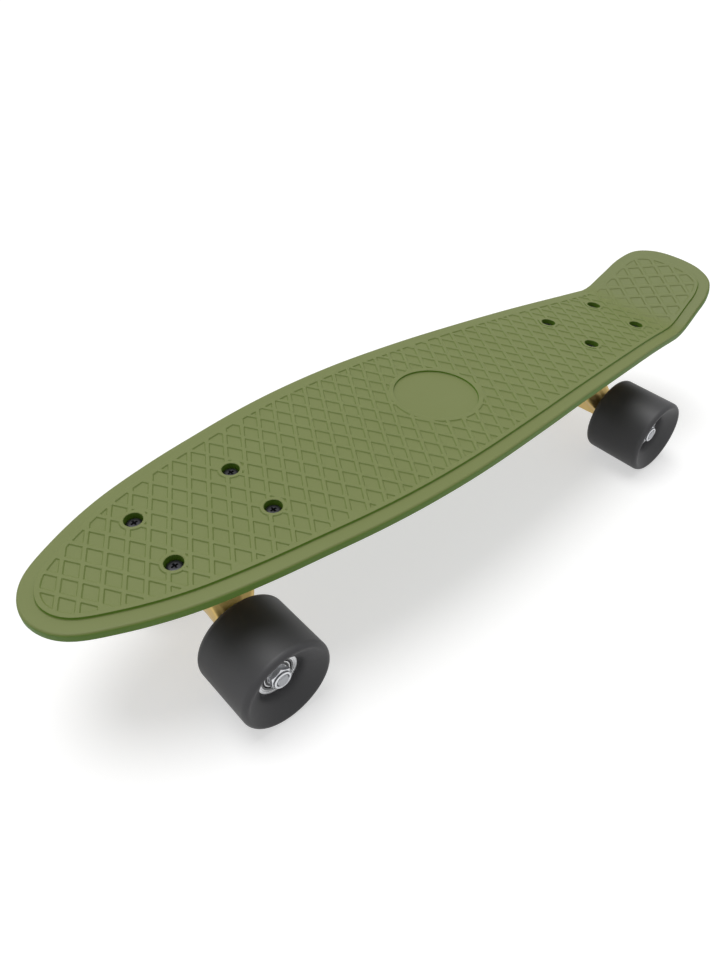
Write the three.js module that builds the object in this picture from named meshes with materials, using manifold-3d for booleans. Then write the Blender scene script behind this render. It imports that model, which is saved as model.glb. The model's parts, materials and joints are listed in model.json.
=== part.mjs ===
// Cruiser skateboard, in millimetres: +X toward the nose, +Y toward the board's left, +Z up.
// The board stands on its wheels at z = 0, and the middle of its outer box is at x = 0, y = 0.
import * as THREE from 'three';
import * as BufferGeometryUtils from 'three/addons/utils/BufferGeometryUtils.js';
import Module from 'manifold-3d';

const wasm = await Module();
wasm.setup();

// Clearances between pieces
const seatGap = 0.15; // between two faces that rest on each other
const slipGap = 0.2; // round a shaft, a bolt or a bearing in its hole
const overrun = 2; // how far a cut runs past the face that it opens

// Truck bolts, in the standard pattern of four
const bolts = {
  wheelbase: 366.6, // between the middles of the two patterns, along the deck
  spacingAlong: 63.5,
  spacingAcross: 41.3,
  shankRadius: 2.5,
  headRadius: 4.7,
  headHeight: 2.6,
  crownRadius: 3.4,
  crownDrop: 0.9,
  length: 22,
  wellRadius: 5.8,
  wellDepth: 6.2, // panel top to the well's floor
  crossLength: 4.8,
  crossWidth: 1.2,
  crossDepth: 1.6,
};
const truckReach = bolts.wheelbase / 2;

// Deck: one moulded plastic plank, measured along its bent upper surface from midway between the trucks
const deck = {
  noseOverhang: 105.2, // past the middle of the front bolt pattern
  waistOverhang: 48.7, // past the rear pattern, where the outline is narrow before the tail
  tailLength: 74, // from there to the tail's end
  halfWidth: 71.6,
  archRadius: 3070, // the plank rises gently in the middle
  kickOverhang: 50.7, // past the rear pattern, where the raised tail starts to bend up
  kickRadius: 25,
  kickAngle: THREE.MathUtils.degToRad(31), // of the straight tail, to the ground
  plate: 5, // panel top to plain underside
  border: 8.8, // lowered band round the panel
  borderDrop: 1.8,
  edgeRound: 2.4,
  edgeDepth: 7.3, // panel top to the lowest line of the edge
  lipWidth: 4, // wall that hangs down all round
  lipRound: 0.8,
  stepSlope: 0.5,
};
const noseReach = truckReach + deck.noseOverhang;
const waistReach = truckReach + deck.waistOverhang;
const kickStart = truckReach + deck.kickOverhang;

// Half widths of the deck's outline: share of a reach, then share of the half width
const noseOutlineShares = [
  [0.104, 0.997], [0.26, 0.996], [0.385, 0.963], [0.51, 0.9], [0.645, 0.818], [0.775, 0.7],
  [0.882, 0.532], [0.959, 0.352], [0.989, 0.19],
];
const rearOutlineShares = [[0.129, 0.944], [0.388, 0.865], [0.647, 0.783], [0.86, 0.711]];
const waistShare = 0.672;
const tailOutlineShares = [[0.14, 0.658], [0.42, 0.634], [0.68, 0.603], [0.86, 0.512], [0.965, 0.311]];
const outlineSteps = 2; // points on the outline from one listed point to the next

// Round sunk seat in the middle of the panel, with a bare floor
const disc = { radius: 29, depth: 1.5 };

// Waffle grip on the panel: sunk four sided cells between two families of slanted ribs
const grip = {
  cellAlong: 25.6, // a cell's diagonals, to the middles of its ribs
  cellAcross: 41,
  start: 0.4, // from midway between the trucks to the nearest crossing of two ribs
  ribWidth: 2,
  depth: 1.1,
  rim: 2.2, // plain rim round the panel
  wellRing: 2.4, // plain ring round each bolt well
  seatRing: 2.5, // plain ring round the sunk seat
};

// Stiffening ribs under the deck
const rib = {
  thickness: 2.6,
  depth: 10, // panel top to the ribs' lower edges
  inset: 7, // outline to the ribs' ends
  spacingAcross: 26,
  pairs: 1, // ribs on each side of the middle one
  spacingAlong: 92,
  crossRibs: 5,
};

// Truck pads under the deck
const pad = {
  margin: 2.5, // round the baseplate
  depth: 13, // panel top to the face that the truck is bolted to
};

// Lock nuts: a hexagon across its flats, and a round collar that grips the thread
const boltNut = { flats: 9.5, hexHeight: 3.6, collarRadius: 4.2, height: 5.2 };
const axleNut = { flats: 12.7, hexHeight: 4.4, collarRadius: 5.5, height: 5.6 };
const kingpinNut = { flats: 14.3, hexHeight: 6.6, collarRadius: 6.4, height: 8.4 };

// Truck: places are [outward from the bolt pattern's middle, down from the mounting face]
const truck = {
  axle: [7.6, 55.9],
  pivot: [23, 13],
  ring: [-18, 40],
  kingpinLean: THREE.MathUtils.degToRad(20),
};
const baseplate = {
  endMargin: 8.75, // past the bolts
  sideMargin: 7.85,
  thickness: 5.5,
  cornerRadius: 9,
  edgeRound: 1,
  kingpinBossRadius: 11.8,
  pivotBossRadius: 11.5,
  pivotBossLength: 20,
  webThickness: 7,
  webDepth: 13,
};
const baseplateLength = bolts.spacingAlong + 2 * baseplate.endMargin;
const baseplateWidth = bolts.spacingAcross + 2 * baseplate.sideMargin;
const kingpin = { radius: 4.75, headFlats: 14.2, headHeight: 5.5, headDepth: 8.9, tail: 2 };
const bushing = { radius: 11, coneRadius: 8.6, boardHeight: 12, roadHeight: 9.6, bulge: 0.7, room: 1 };
const cupWasher = { radius: 10.6, thickness: 1.6, lip: 1.3, lipWidth: 1.2 };
const pivotCup = { radius: 8.6, wall: 2.4, depth: 9, floor: 2.2 };
const hanger = {
  ringRadius: 18,
  ringThickness: 8,
  ringHole: 5.6,
  barRadius: 8.4,
  endRadius: 7.7,
  halfLength: 44.3,
  neck: 36, // from the middle to where the web has run down into the bar
  shoulder: 19,
  core: 8,
  studRadius: 6,
  studTip: 5.6,
  studLength: 24,
};

// The hanger's web in side view, from the ring over the pivot stud and round the bar. Each point is
// [outward, up] from the axle, as shares of the axle's drop below the mounting face.
const webCoreShares = [
  [-0.235, 0.195], [-0.215, 0.285], [-0.12, 0.44], [-0.03, 0.56], [0.07, 0.585], [0.17, 0.42],
  [0.15, 0.2], [0.11, 0], [0.06, -0.12], [0, -0.15], [-0.1, -0.115], [-0.18, 0.04],
];
const webShoulderShares = [
  [-0.41, 0.26], [-0.4, 0.32], [-0.24, 0.345], [-0.08, 0.36], [0.06, 0.37], [0.15, 0.35],
  [0.15, 0.15], [0.12, 0], [0.08, -0.12], [0, -0.15], [-0.11, -0.1], [-0.2, 0.06],
];

// Wheels, bearings and the pieces that hold them on the axle
const wheel = {
  radius: 30.2,
  width: 49.7,
  middle: 57.5, // from the board's middle plane to the wheel's
  lipRadius: 6,
  coreRadius: 8.6,
  dishMouth: 21.5,
  dishFloor: 14.2,
  dishRise: 1.6,
  mouthRound: 1.4,
  sides: 28,
};
const bearing = {
  radius: 11,
  bore: 4,
  width: 7,
  fromMiddle: 5, // from the wheel's middle plane to the nearer side face
  shieldDrop: 0.5,
  innerRace: 6,
  outerRace: 9.6,
};
const axle = { radius: 4, endSetback: 0.6, chamfer: 0.6 };
const speedWasher = { radius: 5.7, thickness: 1 };

// Number of flat sides that stand for a round face
const smallSides = 12;
const middleSides = 16;
const largeSides = 20;

// Finishes, as seen in daylight
const finishes = {
  plastic: { color: 0x7d875a, roughness: 0.5, metalness: 0 },
  gold: { color: 0xb08b4a, roughness: 0.4, metalness: 0.8 },
  urethane: { color: 0x45464a, roughness: 0.5, metalness: 0 },
  bushingUrethane: { color: 0x2b2b2b, roughness: 0.6, metalness: 0 },
  steel: { color: 0xb9babc, roughness: 0.3, metalness: 1 },
  blackSteel: { color: 0x2e2e33, roughness: 0.4, metalness: 0.8 },
};

function finish(name) {
  return new THREE.MeshStandardMaterial(finishes[name]);
}

// Joining and cutting solids
function toSolid(geometry) {
  const bare = geometry.clone();
  bare.deleteAttribute('normal');
  bare.deleteAttribute('uv');
  const merged = BufferGeometryUtils.mergeVertices(bare);
  return new wasm.Manifold(new wasm.Mesh({
    numProp: 3,
    vertProperties: merged.attributes.position.array,
    triVerts: new Uint32Array(merged.index.array),
  }));
}

function toGeometry(solid) {
  const mesh = solid.getMesh();
  const geometry = new THREE.BufferGeometry();
  geometry.setAttribute('position', new THREE.BufferAttribute(mesh.vertProperties, 3));
  geometry.setIndex(new THREE.BufferAttribute(mesh.triVerts, 1));
  geometry.computeVertexNormals();
  return geometry;
}

function join(...geometries) {
  return toGeometry(geometries.map(toSolid).reduce((sum, solid) => sum.add(solid)));
}

function overlap(geometry, other) {
  return toGeometry(toSolid(geometry).intersect(toSolid(other)));
}

function cut(geometry, ...tools) {
  return toGeometry(tools.map(toSolid).reduce((rest, tool) => rest.subtract(tool), toSolid(geometry)));
}

// A round piece about +Y, from the [radius, height] points of its closed half section
function turned(section, sides) {
  const closed = [...section, section[0]].map(([radius, height]) => new THREE.Vector2(radius, height));
  return new THREE.LatheGeometry(closed, sides);
}

// A round rod about +Y from one height to another
function rod(radius, from, to, sides) {
  const geometry = new THREE.CylinderGeometry(radius, radius, to - from, sides);
  return geometry.translate(0, (from + to) / 2, 0);
}

// A bolt's or nut's hexagon about +Y, given across its flats
function hexagon(flats, from, to) {
  return rod(flats / 2 / Math.cos(Math.PI / 6), from, to, 6);
}

function box(from, to) {
  const size = to.clone().sub(from);
  const middle = from.clone().add(to).divideScalar(2);
  return new THREE.BoxGeometry(size.x, size.y, size.z).translate(middle.x, middle.y, middle.z);
}

// A closed skin over rings that have the same number of points. Each end ring is closed by a flat
// face whose triangles run across it, from each point to the one on the other side.
function skin(rings) {
  const count = rings[0].length;
  const index = [];
  for (let row = 0; row + 1 < rings.length; row += 1) {
    for (let place = 0; place < count; place += 1) {
      const next = (place + 1) % count;
      const [a, b] = [row * count + place, row * count + next];
      index.push(a, b, b + count, a, b + count, a + count);
    }
  }
  const last = (rings.length - 1) * count;
  for (let place = 0; place < count / 2; place += 1) {
    const [a, b, c, d] = [place, place + 1, count - place - 1, (count - place) % count];
    if (b !== c) index.push(a, c, b, last + a, last + b, last + c);
    if (a !== d) index.push(a, d, c, last + a, last + c, last + d);
  }
  const geometry = new THREE.BufferGeometry();
  const positions = rings.flat().flatMap((point) => point.toArray());
  geometry.setAttribute('position', new THREE.Float32BufferAttribute(positions, 3));
  geometry.setIndex(index);
  return geometry;
}

// The deck's bent surface: s runs along it from midway between the trucks, depth square to it
const startTurn = -kickStart / deck.archRadius;
const bendLength = deck.kickRadius * (deck.kickAngle - startTurn);
const tailEnd = waistReach + deck.tailLength;

function surface(s) {
  const archTurn = Math.max(s, -kickStart) / deck.archRadius;
  const past = Math.max(-s - kickStart, 0);
  const bend = Math.min(past, bendLength);
  const straight = past - bend;
  const turn = archTurn + bend / deck.kickRadius;
  const along = deck.kickRadius * (Math.sin(turn) - Math.sin(archTurn));
  const rise = deck.kickRadius * (Math.cos(archTurn) - Math.cos(turn));
  return {
    x: deck.archRadius * Math.sin(archTurn) - along - straight * Math.cos(turn),
    z: deck.archRadius * (Math.cos(archTurn) - 1) + rise + straight * Math.sin(turn),
    turn,
  };
}

function onDeck(s, y, depth) {
  const { x, z, turn } = surface(s);
  return new THREE.Vector3(x - depth * Math.sin(turn), y, z - depth * Math.cos(turn));
}

// Outline of the deck laid flat, counter-clockwise from the nose
function deckOutline() {
  const half = [new THREE.Vector3(noseReach, 0, 0)];
  const add = (s, share) => half.push(new THREE.Vector3(s, share * deck.halfWidth, 0));
  for (const [along, across] of noseOutlineShares.toReversed()) add(along * noseReach, across);
  for (const [along, across] of rearOutlineShares) add(-along * waistReach, across);
  add(-waistReach, waistShare);
  for (const [along, across] of tailOutlineShares) add(-waistReach - along * deck.tailLength, across);
  half.push(new THREE.Vector3(-tailEnd, 0, 0));
  const mirrored = half.slice(1, -1).reverse().map((point) => new THREE.Vector3(point.x, -point.y, 0));
  const points = [...half, ...mirrored];
  return new THREE.CatmullRomCurve3(points, true).getPoints(points.length * outlineSteps).slice(0, -1);
}

const outline = deckOutline();

// The outline moved inward, at a depth below the panel's top
function inset(distance, depth) {
  return outline.map((point, place) => {
    const before = outline.at(place - 1);
    const after = outline[(place + 1) % outline.length];
    const along = after.clone().sub(before).normalize();
    return new THREE.Vector3(point.x - along.y * distance, point.y + along.x * distance, -depth);
  });
}

// The plank before it is bent: plate, lip, rounded edge, lowered border and raised panel
function flatPlank() {
  const arc = (angle) => [
    deck.edgeRound * (1 - Math.sin(angle)),
    deck.borderDrop + deck.edgeRound * (1 - Math.cos(angle)),
  ];
  return skin([
    inset(deck.lipWidth + deck.lipRound, deck.plate),
    inset(deck.lipWidth, deck.edgeDepth),
    inset(deck.lipRound, deck.edgeDepth),
    inset(0, deck.edgeDepth - deck.lipRound),
    inset(...arc(Math.PI / 2)),
    inset(...arc(Math.PI / 4)),
    inset(...arc(0)),
    inset(deck.border, deck.borderDrop),
    inset(deck.border + deck.stepSlope, 0),
  ]);
}

// Half width of the outline at one place along the deck
function halfWidthAt(s) {
  const half = outline.slice(0, outline.length / 2 + 1);
  const place = Math.max(half.findIndex((point) => point.x <= s), 1);
  const [before, after] = [half[place - 1], half[place]];
  return THREE.MathUtils.mapLinear(s, before.x, after.x, before.y, after.y);
}

// What the waffle grip takes out of the flat panel. A cell is left out where most of its sample points
// lie on the rim, on a ring or beyond.
function gripCells() {
  const rimInset = deck.border + deck.stepSlope + grip.rim;
  const { cellAlong, cellAcross, start, depth } = grip;
  const rings = [[0, 0, disc.radius + grip.seatRing, largeSides * 2]];
  for (const end of [1, -1]) {
    for (const [x, y] of boltPlaces()) {
      rings.push([end * (truckReach + x), y, bolts.wellRadius + grip.wellRing, middleSides]);
    }
  }
  const isOpen = ([x, y]) => Math.abs(y) < halfWidthAt(x) - rimInset
    && rings.every(([middleX, middleY, radius]) => Math.hypot(x - middleX, y - middleY) > radius);
  const ribShare = grip.ribWidth * Math.hypot(1 / cellAlong, 1 / cellAcross);
  const [halfAlong, halfAcross] = [cellAlong, cellAcross].map((size) => (size / 2) * (1 - ribShare));
  const cell = upright(rod(1, -depth, overrun, 4)).scale(halfAlong, halfAcross, 1);
  const columns = Math.ceil((2 * tailEnd) / cellAlong);
  const rows = Math.ceil((2 * deck.halfWidth) / cellAcross);
  const cells = [];
  for (let column = -columns; column <= columns; column += 1) {
    for (let row = -rows; row <= rows; row += 1) {
      const [x, y] = [start + (column * cellAlong) / 2, (row * cellAcross) / 2];
      const open = sampleShares.filter(
        ([along, across]) => isOpen([x + along * halfAlong, y + across * halfAcross]));
      const isCell = (column + row) % 2 !== 0;
      if (isCell && open.length > sampleShares.length / 3) cells.push(cell.clone().translate(x, y, 0));
    }
  }
  const room = skin([inset(rimInset, depth), inset(rimInset, -overrun)]);
  const posts = rings.map(([x, y, radius, sides]) => (
    upright(rod(radius, -depth - overrun, 2 * overrun, sides)).translate(x, y, 0)));
  return cut(overlap(join(...cells), room), ...posts);
}

// The ribs before they are bent: some run along the deck, and some across it
function flatRibs() {
  const half = rib.thickness / 2;
  const bar = (s0, s1, y0, y1) => box(
    new THREE.Vector3(s0, y0, -rib.depth), new THREE.Vector3(s1, y1, seatGap - deck.plate));
  const along = Array.from({ length: 2 * rib.pairs + 1 }, (_, place) => {
    const middle = (place - rib.pairs) * rib.spacingAcross;
    const inside = inset(rib.inset, 0).filter((point) => point.y >= Math.abs(middle) + half);
    return bar(inside.at(-1).x, inside[0].x, middle - half, middle + half);
  });
  const across = Array.from({ length: rib.crossRibs }, (_, place) => {
    const middle = (place - (rib.crossRibs - 1) / 2) * rib.spacingAlong;
    const reach = halfWidthAt(middle) - rib.inset;
    return bar(middle - half, middle + half, -reach, reach);
  });
  return [...along, ...across];
}

// Splits a flat face by a line across the deck into its part toward the nose and its part toward the tail
function split(face, place) {
  const near = seatGap / 100; // a point this close to the line lies on it
  const side = face.map((point) => (Math.abs(point.x - place) < near ? 0 : Math.sign(point.x - place)));
  const [front, back] = [[], []];
  face.forEach((point, corner) => {
    const next = (corner + 1) % face.length;
    if (side[corner] >= 0) front.push(point);
    if (side[corner] <= 0) back.push(point);
    if (side[corner] * side[next] < 0) {
      const [low, high] = side[corner] < 0 ? [point, face[next]] : [face[next], point];
      const crossing = low.clone().lerp(high, (place - low.x) / (high.x - low.x));
      front.push(crossing);
      back.push(crossing);
    }
  });
  return [front, back].map((part, which) => (side.includes(which ? -1 : 1) ? part : []));
}

// Points of a cell, as shares of its half diagonals, that are tested for room
const sampleShares = [
  [0, 0], [0.45, 0], [-0.45, 0], [0, 0.45], [0, -0.45], [0.35, 0.35], [0.35, -0.35], [-0.35, 0.35],
  [-0.35, -0.35],
];

const archStepShares = [0.13, 0.36, 0.6, 0.82]; // shares of the nose reach where the arch is stepped
const bendSteps = 4;

const bendPlaces = [
  ...archStepShares.flatMap((share) => [share * noseReach, -share * noseReach]),
  ...Array.from({ length: bendSteps + 1 }, (_, step) => -kickStart - (step / bendSteps) * bendLength),
].sort((first, second) => second - first);

// Bends a flat piece of the deck, after each of its faces is split where the bent surface is stepped
function bent(geometry) {
  const flat = geometry.toNonIndexed().attributes.position;
  const corners = [];
  const add = (face) => {
    for (let corner = 1; corner + 1 < face.length; corner += 1) {
      for (const point of [face[0], face[corner], face[corner + 1]]) {
        corners.push(...onDeck(point.x, point.y, -point.z).toArray());
      }
    }
  };
  for (let first = 0; first < flat.count; first += 3) {
    let rest = [0, 1, 2].map((corner) => new THREE.Vector3().fromBufferAttribute(flat, first + corner));
    for (const place of bendPlaces) {
      const [front, back] = split(rest, place);
      add(front);
      rest = back;
    }
    add(rest);
  }
  const shape = new THREE.BufferGeometry();
  shape.setAttribute('position', new THREE.Float32BufferAttribute(corners, 3));
  return BufferGeometryUtils.mergeVertices(shape);
}

// A truck's own frame: x outward from the bolt pattern's middle, z = 0 on the face it is bolted to
const truckTurn = truckReach / deck.archRadius;

function truckFrame(end) {
  const frame = new THREE.Group();
  const face = onDeck(truckReach, 0, pad.depth);
  frame.position.set(end * face.x, 0, face.z);
  frame.rotation.set(0, truckTurn, end > 0 ? 0 : Math.PI, 'ZYX');
  frame.updateMatrix();
  return frame;
}

function boltPlaces() {
  const [along, across] = [bolts.spacingAlong / 2, bolts.spacingAcross / 2];
  return [[along, across], [along, -across], [-along, -across], [-along, across]];
}

// Rods and other turned pieces are made about +Y; this stands them along +Z
function upright(geometry) {
  return geometry.rotateX(Math.PI / 2);
}

function boltHole([x, y]) {
  const floor = pad.depth - bolts.wellDepth;
  const hole = upright(rod(bolts.shankRadius + slipGap, -overrun, pad.depth, smallSides));
  const well = upright(rod(bolts.wellRadius, floor, pad.depth + overrun, middleSides));
  return join(hole, well).translate(x, y, 0);
}

function makeDeck() {
  const seat = upright(rod(disc.radius, -disc.depth, overrun, largeSides * 2));
  let shape = join(bent(cut(flatPlank(), seat, gripCells())), ...flatRibs().map(bent));
  const padTop = pad.depth - deck.plate + overrun / 2;
  const padLength = baseplateLength + 2 * pad.margin;
  const padWidth = baseplateWidth + 2 * pad.margin;
  for (const end of [1, -1]) {
    const frame = truckFrame(end).matrix;
    const corner = new THREE.Vector3(padLength / 2, padWidth / 2, padTop);
    const block = box(new THREE.Vector3(-corner.x, -corner.y, 0), corner).applyMatrix4(frame);
    const holes = boltPlaces().map((place) => boltHole(place).applyMatrix4(frame));
    shape = cut(join(shape, block), ...holes);
  }
  return shape;
}

// Truck bolts and nuts, about +Z, with the head's underside or the nut's upper face at z = 0
function boltShape() {
  const { headRadius, headHeight, crownRadius, crownDrop, shankRadius, length } = bolts;
  const body = upright(turned([
    [0, -length], [shankRadius, -length], [shankRadius, 0], [headRadius, 0],
    [headRadius, headHeight - crownDrop], [crownRadius, headHeight], [0, headHeight],
  ], smallSides));
  const [half, narrow] = [bolts.crossLength / 2, bolts.crossWidth / 2];
  const [floor, top] = [headHeight - bolts.crossDepth, headHeight + overrun];
  const slot = box(new THREE.Vector3(-half, -narrow, floor), new THREE.Vector3(half, narrow, top));
  return cut(body, join(slot, slot.clone().rotateZ(Math.PI / 2)));
}

// A lock nut about +Y that stands on y = 0, with its collar on the far side
function nutShape(nut, shaftRadius) {
  const hex = hexagon(nut.flats, 0, nut.hexHeight);
  const collar = rod(nut.collarRadius, nut.hexHeight / 2, nut.height, smallSides);
  return cut(join(hex, collar), rod(shaftRadius + slipGap, -overrun, nut.height + overrun, smallSides));
}

// Directions in a truck's frame
const yAxis = new THREE.Vector3(0, 1, 0);
const kingpinWay = new THREE.Vector3(-Math.sin(truck.kingpinLean), 0, -Math.cos(truck.kingpinLean));
const pivotPoint = new THREE.Vector3(truck.pivot[0], 0, -truck.pivot[1]);
const ringPoint = new THREE.Vector3(truck.ring[0], 0, -truck.ring[1]);
const axlePoint = new THREE.Vector3(truck.axle[0], 0, -truck.axle[1]);
const steerWay = pivotPoint.clone().sub(ringPoint).normalize();

// Heights along the kingpin, from the middle of the hanger's ring toward the road
const ringFace = hanger.ringThickness / 2;
const boardSeat = -ringFace - seatGap - bushing.boardHeight - seatGap;
const headSeat = (kingpin.headDepth - truck.ring[1]) / Math.cos(truck.kingpinLean);
const roadBushing = ringFace + seatGap;
const washerSeat = roadBushing + bushing.roadHeight + seatGap;
const nutSeat = washerSeat + cupWasher.thickness + seatGap;
const kingpinEnd = nutSeat + kingpinNut.height + kingpin.tail;

// Moves a shape made about +Y to a point, with +Y turned to a direction
function aimed(geometry, way, point) {
  const turn = new THREE.Quaternion().setFromUnitVectors(yAxis, way);
  return geometry.applyQuaternion(turn).translate(point.x, point.y, point.z);
}

function roundedPlate() {
  const { thickness, cornerRadius, edgeRound } = baseplate;
  const [length, width] = [baseplateLength, baseplateWidth];
  const shape = new THREE.Shape();
  const [halfLength, halfWidth] = [length / 2 - edgeRound, width / 2 - edgeRound];
  const [cornerX, cornerY] = [length / 2 - cornerRadius, width / 2 - cornerRadius];
  const radius = cornerRadius - edgeRound;
  shape.moveTo(halfLength, -cornerY);
  shape.absarc(cornerX, cornerY, radius, 0, Math.PI / 2);
  shape.absarc(-cornerX, cornerY, radius, Math.PI / 2, Math.PI);
  shape.absarc(-cornerX, -cornerY, radius, Math.PI, 1.5 * Math.PI);
  shape.absarc(cornerX, -cornerY, radius, 1.5 * Math.PI, 2 * Math.PI);
  const plate = new THREE.ExtrudeGeometry(shape, {
    depth: thickness - 2 * edgeRound,
    bevelThickness: edgeRound,
    bevelSize: edgeRound,
    bevelSegments: 1,
    curveSegments: 3,
  });
  return plate.translate(0, 0, edgeRound - thickness);
}

const pivotFloor = hanger.studTip + seatGap * 2;

function makeBaseplate() {
  const plate = roundedPlate();
  const reach = overrun + baseplate.thickness;
  const kingpinBoss = aimed(
    rod(baseplate.kingpinBossRadius, headSeat - reach, boardSeat, largeSides), kingpinWay, ringPoint);
  const pivotBoss = aimed(
    rod(baseplate.pivotBossRadius, -pivotCup.depth, baseplate.pivotBossLength - pivotCup.depth, largeSides),
    steerWay, pivotPoint);
  const web = box(
    new THREE.Vector3(truck.ring[0], -baseplate.webThickness / 2, -baseplate.webDepth),
    new THREE.Vector3(truck.pivot[0], baseplate.webThickness / 2, -baseplate.thickness / 2));
  const above = box(
    new THREE.Vector3(-baseplateLength, -baseplateWidth, 0),
    new THREE.Vector3(baseplateLength, baseplateWidth, baseplateLength));
  const shaftHole = aimed(
    rod(kingpin.radius + slipGap, headSeat - overrun, boardSeat + overrun, smallSides),
    kingpinWay, ringPoint);
  const headWell = aimed(
    rod(kingpin.headFlats / 2 / Math.cos(Math.PI / 6) + slipGap * 2, headSeat - baseplateLength, headSeat,
      middleSides), kingpinWay, ringPoint);
  const cupWell = aimed(
    rod(pivotCup.radius + seatGap, -pivotCup.depth - baseplateWidth, pivotFloor + pivotCup.floor + seatGap,
      middleSides), steerWay, pivotPoint);
  const hole = upright(
    rod(bolts.shankRadius + slipGap, -baseplate.thickness - overrun, overrun, smallSides));
  const holes = boltPlaces().map(([x, y]) => hole.clone().translate(x, y, 0));
  return cut(join(plate, kingpinBoss, pivotBoss, web), above, shaftHole, headWell, cupWell, ...holes);
}

function makePivotCup() {
  const { radius, wall, depth, floor } = pivotCup;
  const bore = radius - wall;
  const body = turned([
    [0, pivotFloor + floor], [radius, pivotFloor + floor], [radius, -depth],
    [bore, -depth], [bore, 0], [bore * Math.SQRT1_2, bore * Math.SQRT1_2], [0, pivotFloor],
  ].reverse(), middleSides);
  return body;
}

function makeKingpin() {
  const head = hexagon(kingpin.headFlats, headSeat - kingpin.headHeight, headSeat - seatGap);
  return join(head, rod(kingpin.radius, headSeat - kingpin.headHeight / 2, kingpinEnd, smallSides));
}

// A urethane bushing that stands on y = 0; its far end may be narrower
function bushingShape(farRadius, height) {
  const bore = kingpin.radius + slipGap;
  const { radius, bulge } = bushing;
  const middle = (radius + farRadius) / 2 + bulge / 2;
  return turned([
    [bore, 0], [radius - bulge, 0], [radius, bulge], [middle, height / 2],
    [farRadius, height - bulge], [farRadius - bulge, height], [bore, height],
  ], middleSides);
}

function makeCupWasher() {
  const { radius, thickness, lip, lipWidth } = cupWasher;
  return turned([
    [kingpin.radius + slipGap, 0], [radius - lipWidth, 0], [radius - lipWidth / 2, -lip],
    [radius, -lip], [radius, thickness], [kingpin.radius + slipGap, thickness],
  ], middleSides);
}

// Outline of the hanger at one place across the board, around the axle
function webRing(shares, y) {
  const reach = truck.axle[1];
  return shares.map(([out, up]) => new THREE.Vector3(
    axlePoint.x + out * reach, y, axlePoint.z + up * reach));
}

function barRing(radius, y) {
  const count = webCoreShares.length;
  return webCoreShares.map((share, place) => {
    const angle = Math.PI * (1 - (2 * (place - 0.5)) / count);
    return new THREE.Vector3(
      axlePoint.x + radius * Math.cos(angle), y, axlePoint.z + radius * Math.sin(angle));
  });
}

function makeHanger() {
  const half = [
    webRing(webCoreShares, hanger.core),
    webRing(webShoulderShares, hanger.shoulder),
    barRing(hanger.barRadius, hanger.neck),
    barRing(hanger.endRadius, hanger.halfLength),
  ];
  const mirrored = half.toReversed().map(
    (ring) => ring.map((point) => new THREE.Vector3(point.x, -point.y, point.z)));
  const body = skin([...mirrored, ...half]);
  const ring = aimed(rod(hanger.ringRadius, -ringFace, ringFace, largeSides), kingpinWay, ringPoint);
  const tip = new THREE.SphereGeometry(hanger.studTip, smallSides, smallSides / 2);
  const stud = join(tip, rod(hanger.studTip, -hanger.studLength / 2, 0, smallSides),
    turned([[0, -hanger.studLength], [hanger.studRadius, -hanger.studLength],
      [hanger.studTip, -hanger.studLength / 2], [0, -hanger.studLength / 2]], smallSides));
  const ringHole = aimed(
    rod(hanger.ringHole, -hanger.ringThickness, hanger.ringThickness, middleSides), kingpinWay, ringPoint);
  const clear = bushing.radius + bushing.room;
  const bushingRoom = aimed(
    rod(clear, -hanger.ringRadius * 2, -ringFace, middleSides), kingpinWay, ringPoint);
  const roadRoom = aimed(
    rod(clear, ringFace, hanger.ringRadius * 2, middleSides), kingpinWay, ringPoint);
  const boreEnd = hanger.halfLength + overrun;
  const bore = rod(axle.radius + slipGap, -boreEnd, boreEnd, smallSides)
    .translate(axlePoint.x, 0, axlePoint.z);
  return cut(join(body, ring, aimed(stud, steerWay, pivotPoint)), ringHole, bushingRoom, roadRoom, bore);
}

// Places along the axle, out from the board's middle plane
const innerWasherSeat = hanger.halfLength + seatGap / 2;
const bearingInner = wheel.middle - bearing.fromMiddle - bearing.width;
const bearingOuter = wheel.middle + bearing.fromMiddle;
const outerWasherSeat = bearingOuter + bearing.width + seatGap / 2;
const axleNutSeat = outerWasherSeat + speedWasher.thickness + seatGap;
const axleEnd = axleNutSeat + axleNut.height - axle.endSetback;

function makeAxle() {
  const { radius, chamfer } = axle;
  return turned([
    [0, -axleEnd], [radius - chamfer, -axleEnd], [radius, chamfer - axleEnd],
    [radius, axleEnd - chamfer], [radius - chamfer, axleEnd], [0, axleEnd],
  ], smallSides);
}

function makeWheel() {
  const { radius, width, lipRadius, coreRadius, dishMouth, dishFloor, dishRise, mouthRound } = wheel;
  const face = width / 2;
  const seat = bearing.radius + slipGap / 2;
  const seatMouth = bearing.fromMiddle + bearing.width + seatGap * 2;
  const lip = (angle) => [
    radius - lipRadius * (1 - Math.cos(angle)),
    face - lipRadius * (1 - Math.sin(angle)),
  ];
  const half = [
    [coreRadius, bearing.fromMiddle - seatGap], [seat, bearing.fromMiddle - seatGap], [seat, seatMouth],
    [dishFloor, seatMouth + dishRise], [dishMouth - 2 * mouthRound, face - mouthRound], [dishMouth, face],
    lip(Math.PI / 2), lip(Math.PI / 4), lip(0),
  ];
  const section = [...half, ...half.toReversed().map(([out, along]) => [out, -along])];
  return turned(section.reverse(), wheel.sides).rotateY(Math.PI / wheel.sides);
}

function makeBearing() {
  const { radius, bore, width, shieldDrop, innerRace, outerRace } = bearing;
  const hole = bore + slipGap;
  return turned([
    [hole, 0], [radius, 0], [radius, width], [outerRace, width],
    [(innerRace + outerRace) / 2, width - shieldDrop], [innerRace, width], [hole, width],
  ], middleSides);
}

function washerShape() {
  const hole = axle.radius + slipGap;
  const { radius, thickness } = speedWasher;
  return turned([[hole, 0], [radius, 0], [radius, thickness], [hole, thickness]], smallSides);
}

function mesh(name, geometry, finishName) {
  const piece = new THREE.Mesh(geometry, finish(finishName));
  piece.name = name;
  return piece;
}

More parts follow.
